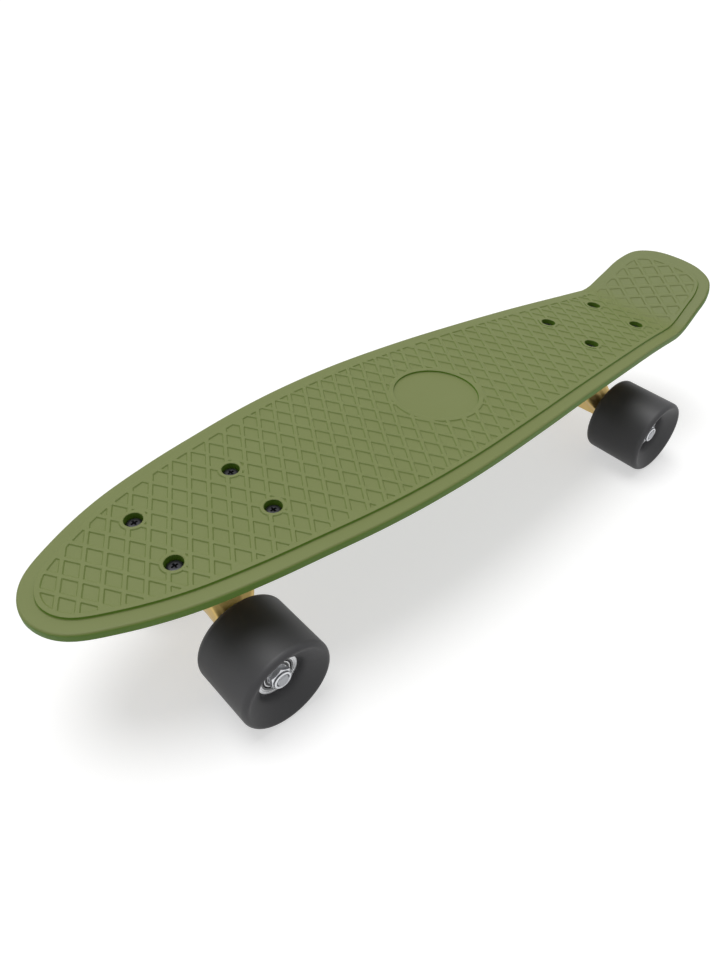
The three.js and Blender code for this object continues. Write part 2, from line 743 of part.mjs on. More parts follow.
// The wheel, its bearings and what holds them, on one end of an axle
function wheelStack(label, side) {
  const stack = new THREE.Group();
  if (side < 0) stack.rotation.z = Math.PI;
  const at = (name, geometry, finishName, y, flip = false) => {
    const piece = mesh(`${label}_${name}`, geometry, finishName);
    piece.position.y = y;
    if (flip) piece.rotation.z = Math.PI;
    stack.add(piece);
  };
  at('inner_speed_washer', washerShape(), 'steel', innerWasherSeat);
  at('inner_bearing', makeBearing(), 'steel', bearingInner + bearing.width, true);
  at('wheel', makeWheel(), 'urethane', wheel.middle);
  at('outer_bearing', makeBearing(), 'steel', bearingOuter);
  at('outer_speed_washer', washerShape(), 'steel', outerWasherSeat);
  at('axle_nut', nutShape(axleNut, axle.radius), 'steel', axleNutSeat);
  return stack;
}

function makeTruck(label, end) {
  const frame = truckFrame(end);
  const kingpinLine = new THREE.Group();
  kingpinLine.position.copy(ringPoint);
  kingpinLine.quaternion.setFromUnitVectors(yAxis, kingpinWay);
  const onKingpin = (name, geometry, finishName, height, flip = false) => {
    const piece = mesh(`${label}_${name}`, geometry, finishName);
    piece.position.y = height;
    if (flip) piece.rotation.z = Math.PI;
    kingpinLine.add(piece);
  };
  onKingpin('kingpin', makeKingpin(), 'steel', 0);
  onKingpin('board_side_bushing', bushingShape(bushing.radius, bushing.boardHeight), 'bushingUrethane',
    -ringFace - seatGap, true);
  onKingpin('road_side_bushing', bushingShape(bushing.coneRadius, bushing.roadHeight), 'bushingUrethane',
    roadBushing);
  onKingpin('cup_washer', makeCupWasher(), 'steel', washerSeat);
  onKingpin('kingpin_nut', nutShape(kingpinNut, kingpin.radius), 'steel', nutSeat);
  const cup = mesh(`${label}_pivot_cup`, makePivotCup(), 'bushingUrethane');
  cup.position.copy(pivotPoint);
  cup.quaternion.setFromUnitVectors(yAxis, steerWay);
  const axleLine = new THREE.Group();
  axleLine.position.copy(axlePoint);
  axleLine.rotation.y = -truckTurn;
  axleLine.add(mesh(`${label}_axle`, makeAxle(), 'steel'));
  axleLine.add(wheelStack(`${label}_${end > 0 ? 'left' : 'right'}`, 1));
  axleLine.add(wheelStack(`${label}_${end > 0 ? 'right' : 'left'}`, -1));
  frame.add(mesh(`${label}_baseplate`, makeBaseplate(), 'gold'));
  frame.add(mesh(`${label}_hanger`, makeHanger(), 'gold'));
  frame.add(kingpinLine, cup, axleLine);
  boltPlaces().forEach(([x, y], place) => {
    const bolt = mesh(`${label}_bolt_${place + 1}`, boltShape(), 'blackSteel');
    bolt.position.set(x, y, pad.depth - bolts.wellDepth + seatGap);
    const nut = mesh(`${label}_lock_nut_${place + 1}`, nutShape(boltNut, bolts.shankRadius), 'blackSteel');
    nut.position.set(x, y, -baseplate.thickness - seatGap * 2);
    nut.rotation.x = -Math.PI / 2;
    frame.add(bolt, nut);
  });
  return frame;
}

// The whole board, set on the ground with the middle of its box at the origin
function makeBoard() {
  const board = new THREE.Group();
  const plank = new THREE.Group();
  plank.add(mesh('deck', makeDeck(), 'plastic'));
  plank.add(makeTruck('front', 1));
  plank.add(makeTruck('rear', -1));
  board.add(plank);
  const outside = new THREE.Box3().setFromObject(board, true);
  plank.position.set(-(outside.min.x + outside.max.x) / 2, 0, -outside.min.z);
  return board;
}

export default makeBoard();
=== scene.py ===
# %% [markdown]
# # A plastic cruiser skateboard
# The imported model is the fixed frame: every piece made here lies in it, in metres, with the ground at
# z = 0, the nose toward +X and the board's left toward +Y. The frame holds plain solids of the right
# size. This lesson gives them their real edges, grip, roundings and finishes.

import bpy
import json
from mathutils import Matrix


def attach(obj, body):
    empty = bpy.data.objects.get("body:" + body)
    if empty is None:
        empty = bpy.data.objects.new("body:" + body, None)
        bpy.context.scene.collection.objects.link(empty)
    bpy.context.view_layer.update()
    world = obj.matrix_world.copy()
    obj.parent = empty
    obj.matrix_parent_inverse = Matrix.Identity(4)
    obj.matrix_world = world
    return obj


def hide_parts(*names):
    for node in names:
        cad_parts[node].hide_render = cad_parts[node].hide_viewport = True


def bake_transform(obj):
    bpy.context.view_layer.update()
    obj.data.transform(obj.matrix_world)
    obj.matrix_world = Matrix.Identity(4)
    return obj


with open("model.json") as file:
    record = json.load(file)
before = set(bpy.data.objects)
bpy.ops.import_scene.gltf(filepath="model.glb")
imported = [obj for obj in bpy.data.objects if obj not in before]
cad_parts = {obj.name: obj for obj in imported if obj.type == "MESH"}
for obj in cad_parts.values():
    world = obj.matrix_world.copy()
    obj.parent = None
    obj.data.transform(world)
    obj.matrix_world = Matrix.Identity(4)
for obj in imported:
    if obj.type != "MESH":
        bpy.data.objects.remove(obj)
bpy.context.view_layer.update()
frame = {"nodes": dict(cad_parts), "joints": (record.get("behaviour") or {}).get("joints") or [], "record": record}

# %% Tools of the trade
import bisect
import json
import math

import bmesh
import bpy
from mathutils import Matrix, Vector, geometry, kdtree

MM = 0.001
scene = bpy.context.scene
joints = {joint["name"]: joint for joint in frame["joints"]}
print("joints:", ", ".join(joints))

# %% [markdown]
# ## Camera
# The picture was taken close to the board, from in front of its nose and from its left, with the camera
# slightly tilted. The camera's place is measured from the ground midway between the two axles, which the
# frame gives through its wheel joints.

# %% Camera
axle_front = Vector(joints["front_left_spin"]["pos_m"])
axle_rear = Vector(joints["rear_left_spin"]["pos_m"])
ground_middle = Vector(((axle_front.x + axle_rear.x) / 2, 0, 0))

CAMERA_AZIMUTH = math.radians(45.49)  # from +X toward +Y
CAMERA_RISE = math.radians(39.58)
CAMERA_ROLL = math.radians(4.23)
CAMERA_DISTANCE = 515.49 * MM
CAMERA_TARGET = ground_middle + Vector((63.6, -1.81, 60.0)) * MM
FOCAL_PIXELS = 775.24
PICTURE_HEIGHT = 960
SENSOR = 36.0

back = Vector((
    math.cos(CAMERA_RISE) * math.cos(CAMERA_AZIMUTH),
    math.cos(CAMERA_RISE) * math.sin(CAMERA_AZIMUTH),
    math.sin(CAMERA_RISE),
))
right = Vector((0, 0, 1)).cross(back).normalized()
level = Matrix((right, back.cross(right), back)).transposed()
camera_data = bpy.data.cameras.new("camera")
camera_data.sensor_width = SENSOR
camera_data.lens = SENSOR * FOCAL_PIXELS / PICTURE_HEIGHT
camera = bpy.data.objects.new("camera", camera_data)
camera.matrix_world = (level @ Matrix.Rotation(CAMERA_ROLL, 3, "Z")).to_4x4()
camera.location = CAMERA_TARGET + back * CAMERA_DISTANCE
scene.collection.objects.link(camera)
scene.camera = camera
print("lens", round(camera_data.lens, 2), "mm at", [round(value, 3) for value in camera.location])

# %% [markdown]
# ## Light and floor
# The board stands on white paper, under one wide soft light that hangs a little behind it and to the
# picture's left, and in the light of pale walls. The room is dimmer behind the camera, so upright faces
# that look at it are darker. The light's level is plain, so that colours come out as they are written.
# The paper looks white because it glows for the camera and in reflections alone, and it still darkens
# softly where the board keeps the light off. From below it is clear, so that the underside can be seen.


# %% Nodes and colours
def srgb(text):
    """A colour written as #rrggbb, as linear values with full alpha."""
    linear = []
    for start in (1, 3, 5):
        part = int(text[start:start + 2], 16) / 255
        linear.append(part / 12.92 if part <= 0.04045 else ((part + 0.055) / 1.055) ** 2.4)
    return (*linear, 1.0)


def add_node(tree, kind, settings=None, **links):
    """Adds a shader node. A socket is linked to the input of that name, and any other value is set."""
    node = tree.nodes.new("ShaderNode" + kind)
    for name, value in (settings or {}).items():
        setattr(node, name, value)
    for name, value in links.items():
        key = int(name[1:]) if name[0] == "i" and name[1:].isdigit() else name.replace("_", " ")
        if isinstance(value, bpy.types.NodeSocket):
            tree.links.new(value, node.inputs[key])
        else:
            node.inputs[key].default_value = value
    return node


def between(tree, value, low, high):
    """A number that goes from low to high as a value goes from 0 to 1."""
    return add_node(tree, "MapRange", Value=value, To_Min=low, To_Max=high).outputs[0]


def mix(tree, factor, first, second):
    """Two colours mixed by a factor."""
    kind = {"data_type": "RGBA"}
    return add_node(tree, "Mix", kind, Factor=factor, i6=first, i7=second).outputs[2]


def empty_tree(owner):
    """The owner's node tree, emptied."""
    owner.use_nodes = True
    owner.node_tree.nodes.clear()
    return owner.node_tree


print("middle grey as a linear value:", round(srgb("#808080")[0], 3))

# %% World, lamp and floor
WALL_LIGHT, WALL_SHEEN = 0.45, 0.8  # the walls' level as light and as seen in reflections
DIM_LIGHT = 0.12  # the level of the wall behind the camera
LAMP_LEVEL, LAMP_SPREAD = 1.68, math.radians(35)
LAMP_LEFT, LAMP_BEHIND = math.radians(12), math.radians(5)  # its lean from straight overhead
PAPER_GLOW = 0.55
FLOOR_SIZE = 8.0

world = bpy.data.worlds.new("studio")
scene.world = world
tree = empty_tree(world)
path = add_node(tree, "LightPath").outputs
way = add_node(tree, "TexCoord").outputs["Generated"]
toward_camera = Vector((back.x, back.y, 0)).normalized()
facing = add_node(tree, "VectorMath", {"operation": "DOT_PRODUCT"}, i0=way, i1=toward_camera)
light = between(tree, facing.outputs["Value"], WALL_LIGHT, DIM_LIGHT)
sheen = between(tree, path["Is Glossy Ray"], light, WALL_SHEEN)
strength = between(tree, path["Is Camera Ray"], sheen, 1.0)
paper_light = add_node(tree, "Background", Color=srgb("#ffffff"), Strength=strength)
add_node(tree, "OutputWorld", Surface=paper_light.outputs[0])

lamp_data = bpy.data.lights.new("overhead_softbox", "SUN")
lamp_data.energy = LAMP_LEVEL
lamp_data.angle = LAMP_SPREAD
lamp = bpy.data.objects.new("overhead_softbox", lamp_data)
lamp_way = Vector((0, 0, 1)) - right * math.tan(LAMP_LEFT) - toward_camera * math.tan(LAMP_BEHIND)
lamp.rotation_euler = lamp_way.to_track_quat("Z", "Y").to_euler()
scene.collection.objects.link(lamp)

paper = bpy.data.materials.new("studio_paper")
tree = empty_tree(paper)
path = add_node(tree, "LightPath").outputs
seen = add_node(tree, "Math", {"operation": "MAXIMUM"}, i0=path["Is Camera Ray"],
                i1=path["Is Glossy Ray"])
glow = add_node(tree, "Math", {"operation": "MULTIPLY"}, i0=seen.outputs[0], i1=PAPER_GLOW)
matt = add_node(tree, "BsdfDiffuse", Color=srgb("#cccccc"))
shine = add_node(tree, "Emission", Color=srgb("#ffffff"), Strength=glow.outputs[0])
both = add_node(tree, "AddShader", i0=matt.outputs[0], i1=shine.outputs[0])
underneath = add_node(tree, "NewGeometry").outputs["Backfacing"]
clear = add_node(tree, "BsdfTransparent")
sided = add_node(tree, "MixShader", Fac=underneath, i1=both.outputs[0], i2=clear.outputs[0])
add_node(tree, "OutputMaterial", Surface=sided.outputs[0])


def as_mesh(bm, name):
    """The mesh that a bmesh holds."""
    mesh = bpy.data.meshes.new(name)
    bm.to_mesh(mesh)
    return mesh


bm = bmesh.new()
bmesh.ops.create_grid(bm, x_segments=1, y_segments=1, size=FLOOR_SIZE / 2)
floor = bpy.data.objects.new("floor", as_mesh(bm, "floor"))
floor.data.materials.append(paper)
scene.collection.objects.link(floor)
scene.view_settings.view_transform = "Standard"
print("paper floor", FLOOR_SIZE, "m wide, walls at", WALL_LIGHT, "lamp at", LAMP_LEVEL)

# %% [markdown]
# ## The truck's and the wheels' places
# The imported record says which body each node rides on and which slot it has. The wheel joints say where
# the axles are, and the truck mounts and the deck's bent surface follow from them. All lengths from here
# on are in millimetres, and each finished mesh is scaled to metres once, at the end.

# %% Places
body_of = {node: body for body, nodes in frame["record"]["behaviour"]["bodies"].items() for node in nodes}

TRUCK_REACH = 183.3  # along the deck, from midway between the trucks to each mount
ARCH_RADIUS = 3070.0
PAD_DEPTH = 13.0  # from the deck's top down to a truck's seat
TRUCK_TURN = TRUCK_REACH / ARCH_RADIUS
AXLE_PLACE = Vector((7.6, 0, -55.9))  # outward and up from the middle of the mounting face
RING_PLACE = Vector((-18.0, 0, -40.0))
PIVOT_PLACE = Vector((23.0, 0, -13.0))
KINGPIN_LEAN = math.radians(20)
END_OF = {"front": 1, "rear": -1}
SIDE_OF = {"left": 1, "right": -1}
CORNERS = [(end, side) for end in END_OF for side in SIDE_OF]

mount_face = Vector((
    (ARCH_RADIUS - PAD_DEPTH) * math.sin(TRUCK_TURN), 0,
    ARCH_RADIUS * (math.cos(TRUCK_TURN) - 1) - PAD_DEPTH * math.cos(TRUCK_TURN),
))
lean = Matrix.Rotation(TRUCK_TURN, 4, "Y")
front_axle_point = Vector((axle_front.x, 0, axle_front.z)) / MM
deck_origin = front_axle_point - mount_face - lean @ AXLE_PLACE


def truck_place(end):
    """A truck's own frame: x outward from its bolts' middle, z = 0 on the face it is bolted to."""
    point = deck_origin + Vector((END_OF[end] * mount_face.x, 0, mount_face.z))
    return Matrix.Translation(point) @ Matrix.Rotation(0 if end == "front" else math.pi, 4, "Z") @ lean


def line_place(end, point, way):
    """A frame at a point of a truck with its z along a direction, in the truck's own frame."""
    turn = Vector((0, 0, 1)).rotation_difference(way).to_matrix().to_4x4()
    return truck_place(end) @ Matrix.Translation(point) @ turn


def axle_place(end, side):
    """A frame on an axle, in the board's middle plane, with z outward to one side."""
    point = Vector(joints[f"{end}_{side}_spin"]["pos_m"]) / MM
    turn = Matrix.Rotation(-SIDE_OF[side] * math.pi / 2, 4, "X")
    return Matrix.Translation((point.x, 0, point.z)) @ turn


kingpin_way = Vector((-math.sin(KINGPIN_LEAN), 0, -math.cos(KINGPIN_LEAN)))
steer_way = (PIVOT_PLACE - RING_PLACE).normalized()
print("deck surface starts at", [round(value, 3) for value in deck_origin], "mm")

# %% [markdown]
# ## Shared ways of making
# Most small pieces of a truck are turned round a line. Each one starts as half of its section, with its
# edges already rounded, which bmesh spins round z. A finished mesh goes to its place once, and its
# object stays at the origin, so that object coordinates are the board's own.

# %% Ways of making
SMOOTH_LIMIT = math.radians(32)  # edges sharper than this stay crisp
TINY = 0.001  # a length that doesn't matter
ROUND_SIDES, SMALL_SIDES = 48, 32  # of a turned piece as wide as a nut, and of a narrow one
FLIP = Matrix.Rotation(math.pi, 4, "X")


def up(height):
    """A move along z."""
    return Matrix.Translation((0, 0, height))


def turned(section, sides, closed=False):
    """A round solid about z, from the (radius, height) points of its half section."""
    bm = bmesh.new()
    corners = [bm.verts.new((radius, 0, height)) for radius, height in section]
    pairs = list(zip(corners, corners[1:])) + ([(corners[-1], corners[0])] if closed else [])
    edges = [bm.edges.new(pair) for pair in pairs]
    bmesh.ops.spin(bm, geom=corners + edges, cent=(0, 0, 0), axis=(0, 0, 1), angle=math.tau,
                   steps=sides, use_merge=True)
    bmesh.ops.remove_doubles(bm, verts=bm.verts, dist=TINY)
    bmesh.ops.recalc_face_normals(bm, faces=bm.faces)
    return bm


def soften(bm, width):
    """Bevels every sharp edge."""
    sharp = [edge for edge in bm.edges if edge.calc_face_angle(0) > SMOOTH_LIMIT]
    bmesh.ops.bevel(bm, geom=sharp, offset=width, offset_type="OFFSET", segments=2, profile=0.5,
                    affect="EDGES", clamp_overlap=True, material=-1)


def placed(bm, name, place):
    """The finished mesh, moved to its place and scaled from millimetres to metres."""
    bmesh.ops.transform(bm, matrix=Matrix.Scale(MM, 4) @ place, verts=bm.verts)
    mesh = as_mesh(bm, name)
    mesh.shade_smooth()
    mesh.set_sharp_from_angle(angle=SMOOTH_LIMIT)
    return mesh


def add_piece(name, mesh, material, node, rides=True):
    """Puts a mesh in the scene in place of a node, with its finish and riding on its body."""
    piece = bpy.data.objects.new(name, mesh)
    mesh.materials.clear()
    mesh.materials.append(material)
    scene.collection.objects.link(piece)
    even = piece.modifiers.new("even_normals", "WEIGHTED_NORMAL")
    even.keep_sharp = True
    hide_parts(node)
    if rides:
        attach(piece, body_of[node])
    return piece


def place_piece(kind, node, bm, place, material, rides=True):
    """Adds a piece that was made in millimetres."""
    return add_piece(f"{kind}_{node}", placed(bm, node, place), material, node, rides)


def helper_object(bm, name):
    """An object that is only there while modifiers are worked out."""
    thing = bpy.data.objects.new(name, as_mesh(bm, name))
    scene.collection.objects.link(thing)
    return thing


def modified(thing):
    """The mesh that an object's modifiers make of it."""
    bpy.context.view_layer.update()
    result = bpy.data.meshes.new_from_object(thing.evaluated_get(bpy.context.evaluated_depsgraph_get()))
    bpy.data.objects.remove(thing)
    return result


def combined(first, second, operation, crossing=False):
    """Joins, cuts or intersects two shapes. The second one's parts may cross each other."""
    base, tool = helper_object(first, "base"), helper_object(second, "tool")
    step = base.modifiers.new("step", "BOOLEAN")
    step.operation = operation
    step.solver = "EXACT"
    step.use_self = crossing
    step.object = tool
    bm = bmesh.new()
    bm.from_mesh(modified(base))
    bpy.data.objects.remove(tool)
    return bm


print("edges sharper than", round(math.degrees(SMOOTH_LIMIT)), "degrees stay crisp")

# %% [markdown]
# ## Finishes
# Each finish is a Principled surface with a fine bump of its own grain. Object coordinates are in metres,
# so a grain of g millimetres has a scale of 1000 / g.

# %% Finish helper
# Painted shade: the share on each face of the darker colour, on the plank's steep walls and the bearings' grooves
# and races; on the bearings' seals it is their black rubber.
SHADE_AND_SEAL_LAYER = "shade_and_seal"  # a number on each face of a mesh, from 0 to 1
GLOSS_SPREAD = 0.06  # how far the grain changes the roughness each way


def grained(name, colours, grain, bump, roughness, metallic=0.0, ior=1.5, patch=40.0, shade_and_seal=None):
    """A finish with two close colours in soft patches, and a grain in millimetres. Each face's share in the
    mesh mixes in the darker colour as painted shade, and on bearings' seals as their black; that part is no metal."""
    material = bpy.data.materials.new(name)
    tree = empty_tree(material)
    place = add_node(tree, "TexCoord").outputs["Object"]
    clouds = add_node(tree, "TexNoise", Vector=place, Scale=1 / (patch * MM), Detail=3.0)
    colour = mix(tree, clouds.outputs["Fac"], srgb(colours[0]), srgb(colours[1]))
    # Painted shade: a face's share mixes the darker colour into the finish.
    if shade_and_seal:
        shade_and_seal_share = add_node(tree, "Attribute", {"attribute_name": SHADE_AND_SEAL_LAYER}).outputs["Fac"]
        colour = mix(tree, shade_and_seal_share, colour, srgb(shade_and_seal))
        if metallic:
            metallic = between(tree, shade_and_seal_share, metallic, 0.0)
    grit = add_node(tree, "TexNoise", Vector=place, Scale=1 / (grain * MM), Detail=2.0)
    raised = add_node(tree, "Bump", Height=grit.outputs["Fac"], Distance=bump * MM, Strength=1.0)
    gloss = between(tree, grit.outputs["Fac"], roughness - GLOSS_SPREAD, roughness + GLOSS_SPREAD)
    skin = add_node(tree, "BsdfPrincipled", Base_Color=colour, Roughness=gloss,
                    Metallic=metallic, IOR=ior, Normal=raised.outputs[0])
    add_node(tree, "OutputMaterial", Surface=skin.outputs[0])
    return material


print("the gloss of a finish varies by", GLOSS_SPREAD)

# %% [markdown]
# The plank is moulded from dyed polypropylene, and the mould's spark eroded walls leave a fine grain that
# makes it satin. The wheels are poured urethane, the trucks cast aluminium under a gold coat, and the
# small steel pieces zinc plated, ground or blackened. The plank's steep walls get a darker green as painted
# shade. The bearings' grooves and outer races get painted shade too, and their rubber seals are black.

# %% Finishes
# The plank's second colour is painted shade for its steep walls.
deck_finish = grained("moulded_olive_polypropylene", ("#79834c", "#747e45"), 0.35, 0.02, 0.56,
                      ior=1.46, shade_and_seal="#5c801c")
wheel_finish = grained("poured_grey_urethane", ("#3e3e40", "#3c3c3e"), 0.5, 0.012, 0.52)
gold_finish = grained("gold_coated_cast_aluminium", ("#dcc07e", "#d6b873"), 0.6, 0.03, 0.4, metallic=1.0)
bushing_finish = grained("black_cast_urethane", ("#242426", "#1e1e20"), 0.5, 0.01, 0.55)
zinc_finish = grained("zinc_plated_steel", ("#e2e3e6", "#dadce0"), 0.3, 0.003, 0.36, metallic=1.0,
                      patch=6.0)
# The bearing's near black is painted shade in its grooves and on its outer races, and the black of its seals.
bearing_finish = grained("ground_bearing_steel", ("#f4f5f6", "#ecedef"), 0.2, 0.001, 0.38, metallic=1.0,
                         shade_and_seal="#1a1a1c")
axle_finish = grained("turned_axle_steel", ("#a9abae", "#9fa1a5"), 0.2, 0.006, 0.3, metallic=1.0)
black_finish = grained("black_oxide_steel", ("#3c3c40", "#343437"), 0.3, 0.003, 0.36, metallic=0.7)
print("finishes made:", len(bpy.data.materials))

# %% [markdown]
# ## The plank's outline
# The plank is drawn flat first and bent last. Its outline runs through a few measured half widths,
# mirrored to the other side. A centripetal spline never loops or overshoots between points that lie
# close together, as they do at the nose.

# %% Outline
NOSE_REACH, WAIST_REACH, TAIL_LENGTH, HALF_WIDTH = 288.4, 232.0, 73.05, 71.6
NOSE_SHARES = [(0.104, 0.997), (0.26, 0.996), (0.385, 0.963), (0.51, 0.9), (0.645, 0.818), (0.775, 0.7),
               (0.882, 0.532), (0.959, 0.352), (0.989, 0.19)]
REAR_SHARES = [(0.129, 0.944), (0.388, 0.865), (0.647, 0.783), (0.86, 0.711), (1, 0.672)]
TAIL_SHARES = [(0.14, 0.658), (0.42, 0.634), (0.68, 0.603), (0.86, 0.512), (0.965, 0.311)]
OUTLINE_STEPS = 8  # points on the outline from one measured point to the next

half = [(NOSE_REACH, 0)]
half += [(along * NOSE_REACH, across * HALF_WIDTH) for along, across in reversed(NOSE_SHARES)]
half += [(-along * WAIST_REACH, across * HALF_WIDTH) for along, across in REAR_SHARES]
half += [(-WAIST_REACH - along * TAIL_LENGTH, across * HALF_WIDTH) for along, across in TAIL_SHARES]
half.append((-WAIST_REACH - TAIL_LENGTH, 0))
measured = [Vector(point) for point in half + [(s, -y) for s, y in reversed(half[1:-1])]]


def spline_span(before, start, end, after):
    """Points from start up to end on a centripetal spline."""
    stops = (before, start, end, after)
    gap_in, gap, gap_out = [(far - near).length ** 0.5 for near, far in zip(stops, stops[1:])]
    leave = ((start - before) / gap_in - (end - before) / (gap_in + gap) + (end - start) / gap) * gap
    arrive = ((end - start) / gap - (after - start) / (gap + gap_out) + (after - end) / gap_out) * gap
    points = []
    for step in range(OUTLINE_STEPS):
        t = step / OUTLINE_STEPS
        points.append(start * (2 * t**3 - 3 * t**2 + 1) + leave * (t**3 - 2 * t**2 + t)
                      + end * (3 * t**2 - 2 * t**3) + arrive * (t**3 - t**2))
    return points


outline = []
for place, point in enumerate(measured):
    following = [measured[(place + step) % len(measured)] for step in (1, 2)]
    outline += spline_span(measured[place - 1], point, *following)


def inset(distance, depth=0.0):
    """The outline moved inward, at a depth."""
    moved = []
    for place, point in enumerate(outline):
        along = (outline[(place + 1) % len(outline)] - outline[place - 1]).normalized()
        moved.append(Vector((point.x - along.y * distance, point.y + along.x * distance, -depth)))
    return moved


def reach_of(loop):
    """A function that gives a loop's half width at a place along the plank."""
    points = sorted((point.x, point.y) for point in loop if point.y >= 0)
    places = [x for x, _ in points]

    def reach(s):
        after = bisect.bisect(places, s)
        if after in (0, len(points)):
            return -1.0  # past the loop's ends
        (x0, y0), (x1, y1) = points[after - 1], points[after]
        return y0 + (y1 - y0) * (s - x0) / max(x1 - x0, 1e-9)

    return reach


print("outline points", len(outline), "from", len(measured), "measured ones")

# %% [markdown]
# ## The waffle grip
# The panel's grip is a lattice of slanted ribs with sunk four sided cells between them. It stops at a
# plain rim and at a ring round each bolt well and the seat. One flat sheet is cut along all of these
# lines, and again a little inside them, so every cell has its true outline and sloping walls. No bmesh
# operator cuts a sheet by closed curves, so Blender's constrained triangulation lays the lines over each
# other. Each corner is then sunk by its distance from the nearest rib, as a mould's cutter leaves it.

# %% Cutting a sheet
CLOSE = 0.02  # points nearer than this are one


def circle(middle, radius, sides):
    """The points of a level circle."""
    return [middle + Vector((math.cos(turn), math.sin(turn), 0)) * radius
            for turn in (math.tau * step / sides for step in range(sides))]


def cut_sheet(bm, loops, lines, depth_of, kind_of):
    """Adds a sheet that is cut along loops and lines and sunk by a depth at each point. Returns its
    faces by kind."""
    points, edges = [], []
    for loop in loops:
        first = len(points)
        points += [Vector(point[:2]) for point in loop]
        edges += [(first + step, first + (step + 1) % len(loop)) for step in range(len(loop))]
    for start, end in lines:
        edges.append((len(points), len(points) + 1))
        points += [Vector(start), Vector(end)]
    corners, _, triangles, *_ = geometry.delaunay_2d_cdt(points, edges, [], 0, CLOSE)
    made, faces = {}, {}
    for triangle in triangles:
        middle = sum((corners[corner] for corner in triangle), Vector((0, 0))) / 3
        kind = kind_of(middle)
        if kind is None:
            continue
        for corner in triangle:
            if corner not in made:
                made[corner] = bm.verts.new((*corners[corner], -depth_of(corners[corner])))
        faces.setdefault(kind, []).append(bm.faces.new([made[corner] for corner in triangle]))
    return faces


print("corners nearer than", CLOSE, "mm are one")

# %% Lattice
CELL_ALONG, CELL_ACROSS = 12.8, 20.5  # a cell's diagonals
LATTICE_START = 0.4
LATTICE_LINES, LATTICE_REACH = 30, 80  # lines each way from the middle, and how far across they run
RIB_WIDTH = 1.5
RIM_WIDTH = 2.1
PANEL_EDGE = 9.5  # from the outline to the flat top's edge
WELL_RADIUS, WELL_RING, WELL_SIDES = 5.8, 1.3, 32
SEAT_RADIUS, SEAT_RING, SEAT_SIDES = 29.0, 2.5, 96
CELL_WALL = [(0, 0), (0.25, 0.06), (0.85, 0.72), (1.2, 0.8)]  # how deep a cell is, that far from its edge
SMALL_CELL = 11.0  # square millimetres, for a cell too small to be sunk
TAIL_CELLS = 0.6  # the depth of the tail's cells, as a share of the others'

line_gap = 1 / math.hypot(1 / CELL_ALONG, 1 / CELL_ACROSS)
BOLT_ALONG, BOLT_ACROSS = 63.5 / 2, 41.3 / 2
spread = ARCH_RADIUS / (ARCH_RADIUS - PAD_DEPTH / 2)  # the bolts stand upright on the bent plank
well_middles = [Vector((end * TRUCK_REACH + x * BOLT_ALONG * spread, y * BOLT_ACROSS, 0))
                for end in (1, -1) for x in (1, -1) for y in (1, -1)]
seat_middle = Vector((0, 0, 0))
rim_reach = reach_of(inset(PANEL_EDGE + RIM_WIDTH))


def well_circles(radius):
    """A circle round each bolt well's middle."""
    return [circle(middle, radius, WELL_SIDES) for middle in well_middles]


def from_well(point):
    """A point's distance from the nearest bolt well's middle."""
    return min((point - middle.xy).length for middle in well_middles)


outline_tree = kdtree.KDTree(len(outline))
for place, point in enumerate(outline):
    outline_tree.insert((*point, 0), place)
outline_tree.balance()


def from_outline(point):
    """A point's distance from the outline."""
    place = outline_tree.find((point.x, point.y, 0))[1]
    near = [outline[(place + step) % len(outline)] for step in (-1, 0, 1)]
    touched = []
    for start, end in ((near[0], near[1]), (near[1], near[2])):
        foot, share = geometry.intersect_point_line(point, start, end)
        touched.append(start if share < 0 else end if share > 1 else foot.xy)
    return min((point - foot).length for foot in touched)


def clearance(point):
    """How far inside a cell a point lies, from the nearest rib, rim or ring."""
    along, across = (point.x - LATTICE_START) / CELL_ALONG, point.y / CELL_ACROSS
    to_line = min(abs(value - round(value)) for value in (along + across, along - across)) * line_gap
    return min(to_line - RIB_WIDTH / 2, from_well(point) - WELL_RADIUS - WELL_RING,
               point.length - SEAT_RADIUS - SEAT_RING, from_outline(point) - PANEL_EDGE - RIM_WIDTH)


def cell_depth(point):
    """How deep the waffle is at a point."""
    inside = min(max(clearance(point), 0), CELL_WALL[-1][0])
    steps = zip(CELL_WALL, CELL_WALL[1:])
    (near, high), (far, low) = next(pair for pair in steps if inside <= pair[1][0])
    depth = high + (low - high) * (inside - near) / (far - near)
    return depth * TAIL_CELLS if point.x < -WAIST_REACH else depth


def top_kind(point):
    """What the panel is at a point, or nothing outside the rim's inner line."""
    if abs(point.y) > rim_reach(point.x):
        return None
    if from_well(point) < WELL_RADIUS:
        return "well"
    return "seat" if point.length < SEAT_RADIUS else "waffle"


def raise_small(faces):
    """Raises the cells that are too small to the panel's top."""
    sunk = {face for face in faces if any(vert.co.z < -CLOSE for vert in face.verts)}
    raised = 0
    while sunk:
        cell, ahead = [], [sunk.pop()]
        while ahead:
            face = ahead.pop()
            cell.append(face)
            near = {other for edge in face.edges for other in edge.link_faces} & sunk
            sunk -= near
            ahead += near
        if sum(face.calc_area() for face in cell) < SMALL_CELL:
            raised += 1
            for vert in {vert for face in cell for vert in face.verts}:
                vert.co.z = 0
    return raised


lattice = []
for number in range(-LATTICE_LINES, LATTICE_LINES + 1):
    for side in (1, -1):
        for step, _ in CELL_WALL:
            edge = number + side * (RIB_WIDTH / 2 + step) / line_gap
            for slope in (1, -1):
                ends = [(LATTICE_START + CELL_ALONG * (edge - slope * y / CELL_ACROSS), y)
                        for y in (-LATTICE_REACH, LATTICE_REACH)]
                if max(ends)[0] > -WAIST_REACH - TAIL_LENGTH and min(ends)[0] < NOSE_REACH:
                    lattice.append(ends)

